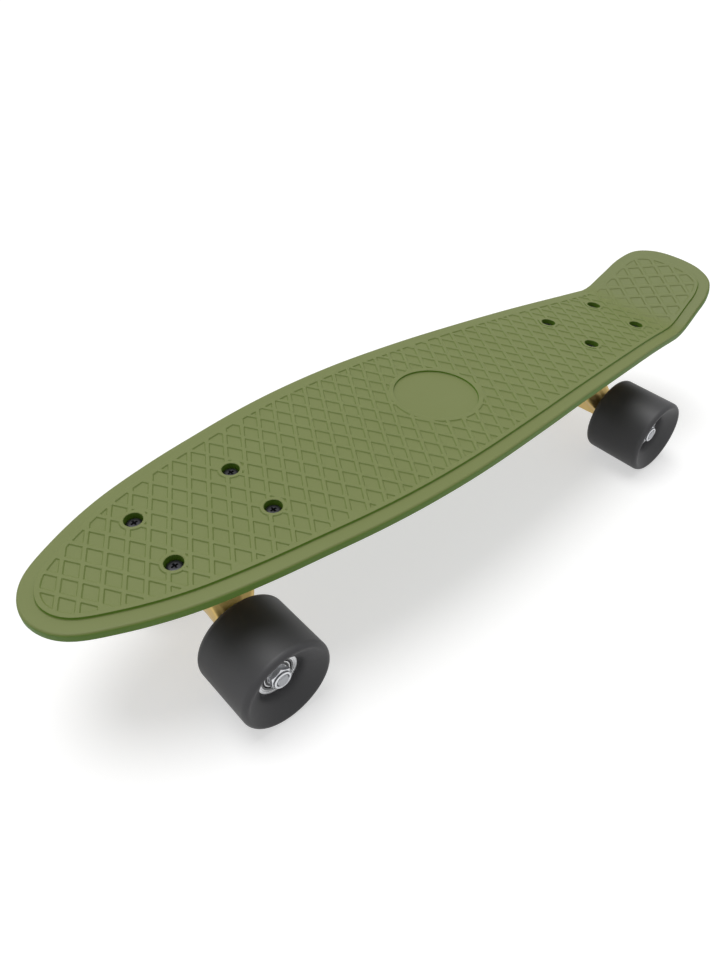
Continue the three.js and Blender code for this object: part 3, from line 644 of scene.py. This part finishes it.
plank = bmesh.new()
rings = well_circles(WELL_RADIUS) + [circle(seat_middle, SEAT_RADIUS, SEAT_SIDES)]
for step, _ in CELL_WALL:
    rings += [inset(PANEL_EDGE + RIM_WIDTH + step),
              circle(seat_middle, SEAT_RADIUS + SEAT_RING + step, SEAT_SIDES)]
    rings += well_circles(WELL_RADIUS + WELL_RING + step)
panel = cut_sheet(plank, rings, lattice, cell_depth, top_kind)
print({kind: len(faces) for kind, faces in panel.items()}, "triangles in", len(lattice), "lines")
print("small cells raised", raise_small(panel["waffle"]))

# %% [markdown]
# The seat and each well are sunk by insets: a small round at the top edge, a steep wall with a little
# draft, as a mould needs, and a small fillet round the floor.


# %% Sinking seat and wells
def merged(bm, faces):
    """Dissolves each group of touching faces into one."""
    return bmesh.ops.dissolve_faces(bm, faces=faces, use_verts=False)["region"]


def sink(bm, faces, middles, radius, steps):
    """Insets round faces by (width, depth) steps and keeps each ring truly round."""
    for width, depth in steps:
        radius -= width
        bmesh.ops.inset_individual(bm, faces=faces, thickness=width, depth=-depth)
        for face in faces:
            centre = face.calc_center_median()
            middle = min(middles, key=lambda point: (point - centre).to_2d().length).xy
            for vert in face.verts:
                vert.co.xy = middle + (vert.co.xy - middle).normalized() * radius


SEAT_STEPS = [(0.25, 0.1), (0.2, 1.2), (0.3, 0.2)]
HOLE_RADIUS = 2.7
WELL_STEPS = [(0.4, 0.25), (0.2, 5.75), (0.3, 0.2), (WELL_RADIUS - 0.9 - HOLE_RADIUS, 0)]  # to the hole

wells, seat = merged(plank, panel["well"]), merged(plank, panel["seat"])
sink(plank, seat, [seat_middle], SEAT_RADIUS, SEAT_STEPS)
sink(plank, wells, well_middles, WELL_RADIUS, WELL_STEPS)
bmesh.ops.delete(plank, geom=wells, context="FACES_ONLY")
print("wells", len(wells), "faces", len(plank.faces))

# %% [markdown]
# Round the waffle run a plain rim, a step down to the lowered border, the plank's rounded edge and the
# lip under it. All of these are the outline moved inward at some depth, so one loop is extruded from
# ring to ring and each ring is set on its own outline.

# %% Edge profile
EDGE_ROUND, BORDER_DROP, EDGE_STEPS = 1.6, 1.7, 6
EDGE_DEPTH, LIP_WIDTH, LIP_ROUND, LIP_STEPS = 7.3, 4.0, 0.8, 3
PLATE = 5.0  # how thick the plank is under the panel


def quarter(centre, radius, start, steps):
    """Profile points (inset, depth) on a quarter circle, from a start angle in quarters."""
    turns = [(start + step / steps) * math.pi / 2 for step in range(steps + 1)]
    return [(centre[0] + radius * math.cos(turn), centre[1] - radius * math.sin(turn)) for turn in turns]


def only(parts, kind):
    """The parts that are of a kind."""
    return [part for part in parts if isinstance(part, kind)]


profile = [(9.35, 0.03), (9.2, 0.15), (8.95, 1.2), (8.8, 1.45), (8.5, BORDER_DROP)]
profile += quarter((EDGE_ROUND, BORDER_DROP + EDGE_ROUND), EDGE_ROUND, 1, EDGE_STEPS)
profile += quarter((LIP_ROUND, EDGE_DEPTH - LIP_ROUND), LIP_ROUND, 2, LIP_STEPS)
profile += [(3.7, EDGE_DEPTH), (LIP_WIDTH, 7.1), (4.15, 6.4), (4.7, 5.3), (5.1, PLATE)]

place_layer = plank.verts.layers.int.new("place")
rim_edges = [edge for edge in plank.edges if edge.is_boundary and edge.verts[0].co.z > -TINY]
loop = [plank.verts.new(point) for point in inset(PANEL_EDGE)]
loop_edges = [plank.edges.new((loop[step - 1], loop[step])) for step in range(len(loop))]
for place, corner in enumerate(loop):
    corner[place_layer] = place
bmesh.ops.triangle_fill(plank, edges=rim_edges + loop_edges, use_beauty=True)
for distance, depth in profile:
    ring = inset(distance, depth)
    made = bmesh.ops.extrude_edge_only(plank, edges=loop_edges)["geom"]
    loop_edges = [edge for edge in only(made, bmesh.types.BMEdge) if edge.is_boundary]
    for corner in only(made, bmesh.types.BMVert):
        corner.co = ring[corner[place_layer]]
print("profile rings", len(profile), "open edges", len(loop_edges))

# %% [markdown]
# ## The plank's underside
# Under the panel are stiffening ribs and two pads for the trucks. Their outlines are cut into a sheet, as
# above. Pads and ribs are extruded together to the ribs' depth, and then the pads alone to their own, so
# that no wall is left inside the plastic.

# %% Underside
RIB_THICKNESS, RIB_DEPTH, RIB_INSET = 2.6, 10.0, 7.0
RIB_GAP_ACROSS, RIB_GAP_ALONG, CROSS_RIBS = 26.0, 92.0, 5
PAD_LENGTH, PAD_WIDTH = 86.0, 62.0


def rectangle(low, high):
    """The corners of a level rectangle."""
    turns = ((low[0], low[1]), (high[0], low[1]), (high[0], high[1]), (low[0], high[1]))
    return [Vector((*corner, 0)) for corner in turns]


half_rib = RIB_THICKNESS / 2
rib_reach = reach_of(inset(RIB_INSET))
rib_ends = sorted((point.x, point.y) for point in inset(RIB_INSET))
ribs = []
for number in (-1, 0, 1):
    across = number * RIB_GAP_ACROSS
    inside = [x for x, _ in rib_ends if rib_reach(x) > abs(across) + half_rib]
    ribs.append(rectangle((inside[0], across - half_rib), (inside[-1], across + half_rib)))
for number in range(CROSS_RIBS):
    middle = (number - (CROSS_RIBS - 1) / 2) * RIB_GAP_ALONG
    reach = rib_reach(middle)
    ribs.append(rectangle((middle - half_rib, -reach), (middle + half_rib, reach)))
pads = []
for end in (1, -1):
    low = Vector((end * TRUCK_REACH - PAD_LENGTH / 2, -PAD_WIDTH / 2, 0))
    pads.append(rectangle(low, low + Vector((PAD_LENGTH, PAD_WIDTH, 0))))


def within(loop, point):
    """Says if a point lies in a rectangle."""
    return loop[0].x < point.x < loop[2].x and loop[0].y < point.y < loop[2].y


def under_kind(point):
    """What the underside is at a point."""
    if from_well(point) < HOLE_RADIUS:
        return None
    if any(within(loop, point) for loop in pads):
        return "pad"
    return "rib" if any(within(loop, point) for loop in ribs) else "plain"


def lower(bm, faces, distance):
    """Extrudes faces downward and returns the moved ones."""
    whole = faces + list({edge for face in faces for edge in face.edges})
    made = bmesh.ops.extrude_face_region(bm, geom=whole)["geom"]
    bmesh.ops.translate(bm, verts=only(made, bmesh.types.BMVert), vec=(0, 0, -distance))
    return only(made, bmesh.types.BMFace)


last_ring = inset(*profile[-1])
last_reach = reach_of(last_ring)
under = cut_sheet(plank, [last_ring] + well_circles(HOLE_RADIUS) + ribs + pads, [], lambda point: PLATE,
                  lambda point: under_kind(point) if abs(point.y) <= last_reach(point.x) else None)
raised = lower(plank, under["pad"] + under["rib"], RIB_DEPTH - PLATE)
pad_faces = [face for face in raised if any(within(loop, face.calc_center_median()) for loop in pads)]
lower(plank, pad_faces, PAD_DEPTH - RIB_DEPTH)
plate_verts = [vert for vert in plank.verts if abs(vert.co.z + PLATE) < TINY]
bmesh.ops.remove_doubles(plank, verts=plate_verts, dist=CLOSE)
for middle in well_middles:
    near = [edge for edge in plank.edges
            if edge.is_boundary and (edge.verts[0].co.xy - middle.xy).length < WELL_RADIUS]
    bmesh.ops.bridge_loops(plank, edges=near)
print("faces", len(plank.faces), "open edges", sum(not edge.is_manifold for edge in plank.edges))

# %% [markdown]
# ## Bending the plank
# The real plank comes out of its mould bent: a long gentle arch and a raised tail. A flat face can't
# follow a bend, so faces are first cut across, closely in the kick of the tail and only the long ones
# elsewhere. Then each point moves to its place on the bent surface.

# %% Bend
KICK_START, KICK_RADIUS, KICK_TURN = 234.0, 25.0, math.radians(31)
KICK_LENGTH = KICK_RADIUS * (KICK_TURN + KICK_START / ARCH_RADIUS)
KICK_CUTS = 12
# Painted shade: faces steeper than LEVEL take the plank's darker green, and take all of it at UPRIGHT.
LEVEL, UPRIGHT = 0.76, 0.3  # steepness of a face that isn't marked at all, and of one that is fully
LONG_FACE = 14.0  # a face longer than this is cut every ARCH_STEP
ARCH_STEP, ARCH_CUTS = 12.0, 43


def on_deck(s, y, depth):
    """The point of the bent plank at a place along it, across it and below its top."""
    arch_turn = max(s, -KICK_START) / ARCH_RADIUS
    past = max(-s - KICK_START, 0)
    bend = min(past, KICK_LENGTH)
    turn = arch_turn + bend / KICK_RADIUS
    along = KICK_RADIUS * (math.sin(turn) - math.sin(arch_turn)) + (past - bend) * math.cos(turn)
    rise = KICK_RADIUS * (math.cos(arch_turn) - math.cos(turn)) + (past - bend) * math.sin(turn)
    x = ARCH_RADIUS * math.sin(arch_turn) - along - depth * math.sin(turn)
    z = ARCH_RADIUS * (math.cos(arch_turn) - 1) + rise - depth * math.cos(turn)
    return deck_origin + Vector((x, y, z))


def span(face):
    """Where along the plank a face starts and ends."""
    places = [vert.co.x for vert in face.verts]
    return min(places), max(places)


def cut_across(bm, faces, places):
    """Cuts faces across the plank at some places along it."""
    geom = faces + list({part for face in faces for part in (*face.edges, *face.verts)})
    for place in places:
        geom = bmesh.ops.bisect_plane(bm, geom=geom, dist=TINY, plane_co=(place, 0, 0),
                                      plane_no=(1, 0, 0))["geom"]


long_faces = [face for face in plank.faces if span(face)[1] - span(face)[0] > LONG_FACE]
cut_across(plank, long_faces, [-KICK_START + ARCH_STEP * step for step in range(1, ARCH_CUTS + 1)])
kick_faces = [face for face in plank.faces
              if span(face)[0] < -KICK_START and span(face)[1] > -KICK_START - KICK_LENGTH]
many_sided = [face for face in kick_faces if len(face.verts) > 4]
kick_faces = [face for face in kick_faces if len(face.verts) <= 4]
kick_faces += bmesh.ops.triangulate(plank, faces=many_sided)["faces"]
kick_places = [-KICK_START - KICK_LENGTH * step / KICK_CUTS for step in range(KICK_CUTS + 1)]
cut_across(plank, kick_faces, kick_places)
plank.normal_update()
# Painted shade: each face gets its share of darker green from its steepness, before the bend.
shade_and_seal_share = plank.faces.layers.float.new(SHADE_AND_SEAL_LAYER)
for face in plank.faces:
    face[shade_and_seal_share] = min(max((LEVEL - abs(face.normal.z)) / (LEVEL - UPRIGHT), 0.0), 1.0)
for vert in plank.verts:
    vert.co = on_deck(vert.co.x, vert.co.y, -vert.co.z)
bmesh.ops.recalc_face_normals(plank, faces=plank.faces)
add_piece("moulded_plank", placed(plank, "moulded_plank", Matrix()), deck_finish, "deck")
print("plank faces", len(plank.faces), "open edges", sum(not edge.is_manifold for edge in plank.edges))

# %% [markdown]
# ## Wheels
# A wheel has a wide tread with a big round lip on both sides, and a deep dish that leads down to the
# bearing. It is the same inside and out. Its section is spun, so the tread stays truly round, and its
# radius is the axle's height, so it just touches the ground.

# %% Wheel section
WHEEL_RADIUS = front_axle_point.z - 0.005  # just clear of the ground
WHEEL_MIDDLE, FLANGE_RADIUS = 57.5, 13.6
LIP_RADIUS, LIP_HEIGHT, CREST_RADIUS, CORE_RADIUS = 4.5, 19.9, 2.0, 8.6
BEARING_RADIUS, BEARING_WIDTH, BEARING_START = 11.0, 7.0, 5.0
BEARING_PLAY = 0.1
DISH = [(13.7, 12.6), (14.0, 13.2), (14.5, 14.4), (15.2, 15.8), (16.1, 16.9), (17.2, 17.75), (20.0, 19.5),
        (23.0, 21.37)]
WHEEL_SIDES, ARC_STEPS = 96, 8
LIP_TURN, DISH_TURN = 45, 122  # degrees, where the lip's wide round and the dish meet the crest


def arc(centre, radius, start, end, steps):
    """Section points (radius, height) on an arc, with angles in degrees."""
    turns = [math.radians(start + (end - start) * step / steps) for step in range(steps + 1)]
    return [(centre[0] + radius * math.cos(turn), centre[1] + radius * math.sin(turn)) for turn in turns]


ledge = BEARING_START + BEARING_WIDTH - BEARING_PLAY  # the bearing's flange lies just over it
shelf, bore = BEARING_START - 2 * BEARING_PLAY, BEARING_RADIUS + BEARING_PLAY
wheel_half = [(CORE_RADIUS, shelf), (bore, shelf), (bore, ledge),
              (FLANGE_RADIUS + BEARING_PLAY / 2, ledge)]
inward = (LIP_RADIUS - CREST_RADIUS) * math.cos(math.radians(LIP_TURN))
crest = (WHEEL_RADIUS - LIP_RADIUS + inward, LIP_HEIGHT + inward)
wheel_half += DISH + arc(crest, CREST_RADIUS, DISH_TURN, LIP_TURN, ARC_STEPS)[:-1]
wheel_half += arc((WHEEL_RADIUS - LIP_RADIUS, LIP_HEIGHT), LIP_RADIUS, LIP_TURN, 0, ARC_STEPS)
wheel_section = wheel_half + [(radius, -height) for radius, height in reversed(wheel_half)]

for end, side in CORNERS:
    place_piece("poured", f"{end}_{side}_wheel", turned(wheel_section, WHEEL_SIDES, True),
                axle_place(end, side) @ up(WHEEL_MIDDLE), wheel_finish)
print("wheel radius", round(WHEEL_RADIUS, 3), "section points", len(wheel_section))

# %% [markdown]
# ## Bearings, axles and nuts
# Each wheel turns on two bearings of the common 22 mm size: an outer ring, a seal between two grooves
# and an inner ring round the axle, all in one turned section. The nuts are six sided, with turned off
# corners and a round collar that grips the thread, so each is a prism cut by a turned shape.

# %% Bearings and washers
# From the bore outward on the inner face, then the flange, then inward on the outer face
BEARING_SECTION = [
    (4.2, 0.25), (4.45, 0), (6.6, 0), (6.85, 0.3), (8.15, 0.3), (8.3, 0.05), (8.9, 0.05), (9.0, 0.6),
    (9.9, 0.6), (10.0, 0), (10.7, 0), (11, 0.3), (11, 7.05), (13.5, 7.05), (13.6, 7.15), (13.6, 7.35),
    (13.4, 7.5), (12.1, 7.5), (11.9, 7.4), (11.8, 6.8), (10.0, 6.8), (9.9, 6.2), (9.0, 6.2),
    (8.9, 6.95), (8.3, 6.95), (8.15, 6.7), (6.85, 6.7), (6.6, 7), (4.45, 7), (4.2, 6.75),
]
BEARING_SIDES = 64
# Painted shade in the grooves and on the outer races, and the seals' black rubber, as shares of the darker colour.
SHADE_AND_SEAL_RINGS = [(8.9, 10.0, 1), (6.85, 8.15, 0.9), (10.0, 11.9, 0.65)]  # radii of grooves, seals and races
SPEED_WASHER = [(4.2, 0), (5.55, 0), (5.7, 0.15), (5.7, 0.85), (5.55, 1), (4.2, 1)]
HANGER_END = 44.3  # from the middle plane to the inner speed washer's seat
AXLE_PAST_SEAT = 5.0  # beyond the axle nut's seat
SEAT_GAP = 0.15
OUTER_BEARING = WHEEL_MIDDLE + BEARING_START
OUTER_WASHER = OUTER_BEARING + BEARING_WIDTH + SEAT_GAP / 2
AXLE_NUT = OUTER_WASHER + SPEED_WASHER[-1][1] + SEAT_GAP
AXLE_END = AXLE_NUT + AXLE_PAST_SEAT


def bearing():
    """A bearing on z = 0 with its flange on top, its seals black and its grooves and outer race darker as painted
    shade.
    """
    bm = turned(BEARING_SECTION, BEARING_SIDES, True)
    shade_and_seal_share = bm.faces.layers.float.new(SHADE_AND_SEAL_LAYER)
    for face in bm.faces:
        middle = face.calc_center_median()
        face[shade_and_seal_share] = sum(shade for low, high, shade in SHADE_AND_SEAL_RINGS if low < middle.xy.length < high)
    return bm


for end, side in CORNERS:
    axle_line = axle_place(end, side)
    for which, turn in (("inner", FLIP), ("outer", Matrix())):
        place_piece("flanged", f"{end}_{side}_{which}_bearing", bearing(),
                    axle_line @ up(WHEEL_MIDDLE) @ turn @ up(BEARING_START), bearing_finish)
    for which, height in (("inner", HANGER_END + SEAT_GAP / 2), ("outer", OUTER_WASHER)):
        washer = turned(SPEED_WASHER, SMALL_SIDES, True)
        place_piece("flat", f"{end}_{side}_{which}_speed_washer", washer, axle_line @ up(height),
                    zinc_finish)
print("axle ends", round(AXLE_END, 2), "mm from the middle plane")

# %% Nuts and axles
AXLE_RADIUS, AXLE_TIP = 4.0, 0.6
BORE_CHAMFER, BORE_LEAD, COLLAR_ROUND, COLLAR_STEPS = 0.3, 0.4, 0.5, 3
FACE_INSET = 0.25  # from the flats in to the end face's edge
CORNER_RISE = 0.6  # the steepness of the turned off corners
BLANK_SHARE = 2.4  # a blank's height as a share of its nut's


def corner_radius(flats):
    """A hexagon's radius, from the width over its flats."""
    return flats / 2 / math.cos(math.pi / 6)


def hexagon(flats, height):
    """A six sided prism about the origin."""
    bm = bmesh.new()
    corner = corner_radius(flats)
    bmesh.ops.create_cone(bm, cap_ends=True, segments=6, radius1=corner, radius2=corner, depth=height)
    return bm


def lock_nut(flats, hex_height, collar_radius, height, bore):
    """A lock nut on z = 0, with its collar on top."""
    corner, face = corner_radius(flats), flats / 2 - FACE_INSET
    rise = (corner - face) * CORNER_RISE
    section = [(bore, BORE_CHAMFER), (bore + BORE_CHAMFER, 0), (face, 0), (corner, rise),
               (corner, hex_height - rise), (face, hex_height), (collar_radius, hex_height)]
    section += arc((collar_radius - COLLAR_ROUND, height - COLLAR_ROUND), COLLAR_ROUND, 0, 90,
                   COLLAR_STEPS)
    section += [(bore + BORE_CHAMFER, height), (bore, height - BORE_LEAD)]
    return combined(turned(section, ROUND_SIDES, True), hexagon(flats, height * BLANK_SHARE), "INTERSECT")


axle_section = [(0, -AXLE_END), (AXLE_RADIUS - AXLE_TIP, -AXLE_END), (AXLE_RADIUS, AXLE_TIP - AXLE_END)]
axle_section += [(radius, -height) for radius, height in reversed(axle_section)]

for end in END_OF:
    place_piece("turned", f"{end}_axle", turned(axle_section, SMALL_SIDES), axle_place(end, "left"),
                axle_finish)
    for side in SIDE_OF:
        nut = lock_nut(flats=12.7, hex_height=2.9, collar_radius=5.9, height=4.4, bore=4.2)
        place_piece("chamfered", f"{end}_{side}_axle_nut", nut, axle_place(end, side) @ up(AXLE_NUT),
                    zinc_finish)
print("axle nut stands on", round(AXLE_NUT, 2))

# %% [markdown]
# ## Truck bolts
# Eight black bolts hold the trucks. Their domed heads are turned, and the recess is cut by two crossed
# blades whose sides lean inward.

# %% Bolts and their lock nuts
WELL_DEPTH, HEAD_HEIGHT, SHANK_RADIUS, SHANK_TIP, BOLT_LENGTH = 6.2, 3.2, 2.5, 0.4, 22.0
BOLT_HEAD = [(4.5, 0), (4.7, 0.25), (4.7, 1.9), (4.5, 2.35), (4.0, 2.8), (3.3, 3.08), (2.4, HEAD_HEIGHT),
             (0, HEAD_HEIGHT)]
BOLT_SIDES = 40
CROSS_LENGTH, CROSS_WIDTH, CROSS_DEPTH = 5.6, 1.6, 1.9
CROSS_TAPER = (0.45, 0.6, 1)  # the foot of a blade as a share of its middle
FLANGE = 5.5  # the baseplate's thickness under the bolts


def cross_blades():
    """Two crossed wedges, narrower toward the floor of the recess."""
    bm = bmesh.new()
    for turn in (0, math.pi / 2):
        made = bmesh.ops.create_cube(bm, size=1)["verts"]
        bmesh.ops.scale(bm, verts=made, vec=(CROSS_LENGTH, CROSS_WIDTH, 2 * CROSS_DEPTH))
        low = [vert for vert in made if vert.co.z < 0]
        bmesh.ops.scale(bm, verts=low, vec=CROSS_TAPER)
        bmesh.ops.rotate(bm, verts=made, matrix=Matrix.Rotation(turn, 3, "Z"))
    bmesh.ops.translate(bm, verts=bm.verts, vec=(0, 0, HEAD_HEIGHT))
    return bm


def truck_bolt():
    """A truck bolt with its head's underside on z = 0."""
    section = [(0, -BOLT_LENGTH), (SHANK_RADIUS - SHANK_TIP, -BOLT_LENGTH),
               (SHANK_RADIUS, SHANK_TIP - BOLT_LENGTH), (SHANK_RADIUS, 0), *BOLT_HEAD]
    return combined(turned(section, BOLT_SIDES), cross_blades(), "DIFFERENCE", crossing=True)


BOLT_ORDER = ((1, 1), (1, -1), (-1, -1), (-1, 1))
for end in END_OF:
    for number, (x, y) in enumerate(BOLT_ORDER, 1):
        stand = truck_place(end) @ Matrix.Translation((x * BOLT_ALONG, y * BOLT_ACROSS, 0))
        place_piece("cross_head", f"{end}_bolt_{number}", truck_bolt(),
                    stand @ up(PAD_DEPTH - WELL_DEPTH + SEAT_GAP), black_finish)
        nut = lock_nut(flats=9.5, hex_height=3.6, collar_radius=4.2, height=5.2, bore=2.7)
        place_piece("chamfered", f"{end}_lock_nut_{number}", nut,
                    stand @ up(-FLANGE - 2 * SEAT_GAP) @ FLIP, black_finish)
print("bolts and nuts", 2 * 2 * len(BOLT_ORDER))

# %% [markdown]
# ## Kingpins, bushings and pivot cups
# A kingpin hangs from each baseplate at a lean of 20 degrees. The hanger's ring sits on it between two
# urethane bushings that squash as the truck steers. Here the bushings ride on no body, and their meshes
# are baked in place.

# %% Kingpin pieces
RING_FACE = 4.0  # from the middle of the hanger's ring to its two faces
BOARD_BUSHING, ROAD_BUSHING = 12.0, 9.6
BUSHING_RADIUS, BUSHING_EDGE, BUSHING_BULGE, BUSHING_STEPS = 11.0, 0.7, 0.385, 8
BREAK_ACROSS, BREAK_UP = 0.25, 0.2  # the point that rounds a bushing's edge
ROAD_RADIUS = 8.6  # the road side bushing's far end
KINGPIN_NUT_HEIGHT = 8.4
HEAD_DROP, HEAD_FLATS, HEAD_THICKNESS, HEAD_BEVEL = 8.9, 14.2, 5.5, 0.4  # the kingpin's head
KINGPIN_RADIUS, KINGPIN_BORE, KINGPIN_TIP = 4.75, 4.95, 0.8
ROD_START, PAST_NUT = 3, 2  # how deep in its head the rod starts, and how far past the nut it ends
BALL_RADIUS, BALL_STEPS = 6.0, 8  # the hollow for the hanger's pivot

washer_section = [(KINGPIN_BORE, 0), (9.2, 0), (9.6, -0.2), (9.9, -1.1), (10.2, -1.3), (10.5, -1.2),
                  (10.6, -0.8), (10.5, 0.9), (10.1, 1.5), (9.6, 1.6), (KINGPIN_BORE, 1.6)]
cup_section = [(0, 8.1), (7.9, 8.1), (8.6, 7.4), (8.6, -8.4), (8, -9), (6.6, -9), (6.2, -8.6), (6.2, 0)]
cup_section += arc((0, 0), BALL_RADIUS, 5, 85, BALL_STEPS) + [(0, BALL_RADIUS)]

BOARD_SEAT = -RING_FACE - SEAT_GAP - BOARD_BUSHING - SEAT_GAP
HEAD_SEAT = (HEAD_DROP + RING_PLACE.z) / math.cos(KINGPIN_LEAN)
WASHER_SEAT = RING_FACE + SEAT_GAP + ROAD_BUSHING + SEAT_GAP
KINGPIN_NUT = WASHER_SEAT + washer_section[-1][1] + SEAT_GAP
KINGPIN_END = KINGPIN_NUT + KINGPIN_NUT_HEIGHT + PAST_NUT


def bushing(far_radius, height):
    """A bushing on z = 0, with its bulging side narrowing to the far end."""
    side = []
    for step in range(BUSHING_STEPS + 1):
        share = step / BUSHING_STEPS
        bulge = BUSHING_BULGE * math.sin(math.pi * share)
        side.append((BUSHING_RADIUS + (far_radius - BUSHING_RADIUS) * share + bulge,
                     BUSHING_EDGE + (height - 2 * BUSHING_EDGE) * share))
    section = [(KINGPIN_BORE, 0), (BUSHING_RADIUS - BUSHING_EDGE, 0),
               (BUSHING_RADIUS - BREAK_ACROSS, BREAK_UP), *side,
               (far_radius - BREAK_ACROSS, height - BREAK_UP), (far_radius - BUSHING_EDGE, height),
               (KINGPIN_BORE, height)]
    return turned(section, ROUND_SIDES, True)


def kingpin():
    """A kingpin along its own line."""
    head = hexagon(HEAD_FLATS, HEAD_THICKNESS - SEAT_GAP)
    bmesh.ops.translate(head, verts=head.verts, vec=(0, 0, HEAD_SEAT - (HEAD_THICKNESS + SEAT_GAP) / 2))
    soften(head, HEAD_BEVEL)
    start = HEAD_SEAT - ROD_START
    rod = turned([(0, start), (KINGPIN_RADIUS, start), (KINGPIN_RADIUS, KINGPIN_END - KINGPIN_TIP),
                  (KINGPIN_RADIUS - KINGPIN_TIP, KINGPIN_END), (0, KINGPIN_END)], SMALL_SIDES)
    return combined(head, rod, "UNION")


for end in END_OF:
    line = line_place(end, RING_PLACE, kingpin_way)
    place_piece("smooth", f"{end}_kingpin", kingpin(), line, zinc_finish)
    place_piece("smooth", f"{end}_cup_washer", turned(washer_section, ROUND_SIDES, True),
                line @ up(WASHER_SEAT), zinc_finish)
    nut = lock_nut(flats=14.3, hex_height=6.6, collar_radius=6.4, height=KINGPIN_NUT_HEIGHT,
                   bore=KINGPIN_BORE)
    place_piece("smooth", f"{end}_kingpin_nut", nut, line @ up(KINGPIN_NUT), zinc_finish)
    place_piece("smooth", f"{end}_pivot_cup", turned(cup_section, ROUND_SIDES),
                line_place(end, PIVOT_PLACE, steer_way), bushing_finish)
    for side, bm, place, board_end, hanger_end in (
        ("board", bushing(BUSHING_RADIUS, BOARD_BUSHING), up(-RING_FACE - SEAT_GAP) @ FLIP, BOARD_SEAT,
         -RING_FACE),
        ("road", bushing(ROAD_RADIUS, ROAD_BUSHING), up(RING_FACE + SEAT_GAP), WASHER_SEAT, RING_FACE),
    ):
        piece = place_piece("squashing", f"{end}_{side}_side_bushing", bm, line @ place, bushing_finish,
                            rides=False)
        ends = [(line @ Vector((0, 0, height))) * MM for height in (board_end, hanger_end)]
        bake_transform(piece)
print("kingpin runs from", round(HEAD_SEAT, 1), "to", round(KINGPIN_END, 1), "along its line")

# %% [markdown]
# ## Castings
# Hangers and baseplates are cast, so no edge on them is sharp. A copy of the frame's own solid is
# remeshed into small faces and smoothed a little, which rounds every edge by about a millimetre and
# keeps the size.

# %% Cast pieces
VOXEL = 0.75
CAST_PULL, CAST_ROUNDS = 0.5, 8  # the strength and the number of smoothing rounds


def cast_copy(node):
    """A node's solid with its edges rounded as in a casting."""
    bm = bmesh.new()
    bm.from_mesh(frame["nodes"][node].data)
    bmesh.ops.remove_doubles(bm, verts=bm.verts, dist=TINY * MM)
    thing = helper_object(bm, "source")
    remesh = thing.modifiers.new("even_faces", "REMESH")
    remesh.mode = "VOXEL"
    remesh.voxel_size = VOXEL * MM
    relax = thing.modifiers.new("relax", "SMOOTH")
    relax.factor = CAST_PULL
    relax.iterations = CAST_ROUNDS
    mesh = modified(thing)
    mesh.shade_smooth()
    return mesh


for end in END_OF:
    for part in ("hanger", "baseplate"):
        node = f"{end}_{part}"
        piece = add_piece(f"cast_{node}", cast_copy(node), gold_finish, node)
        print(node, len(piece.data.polygons), "faces")
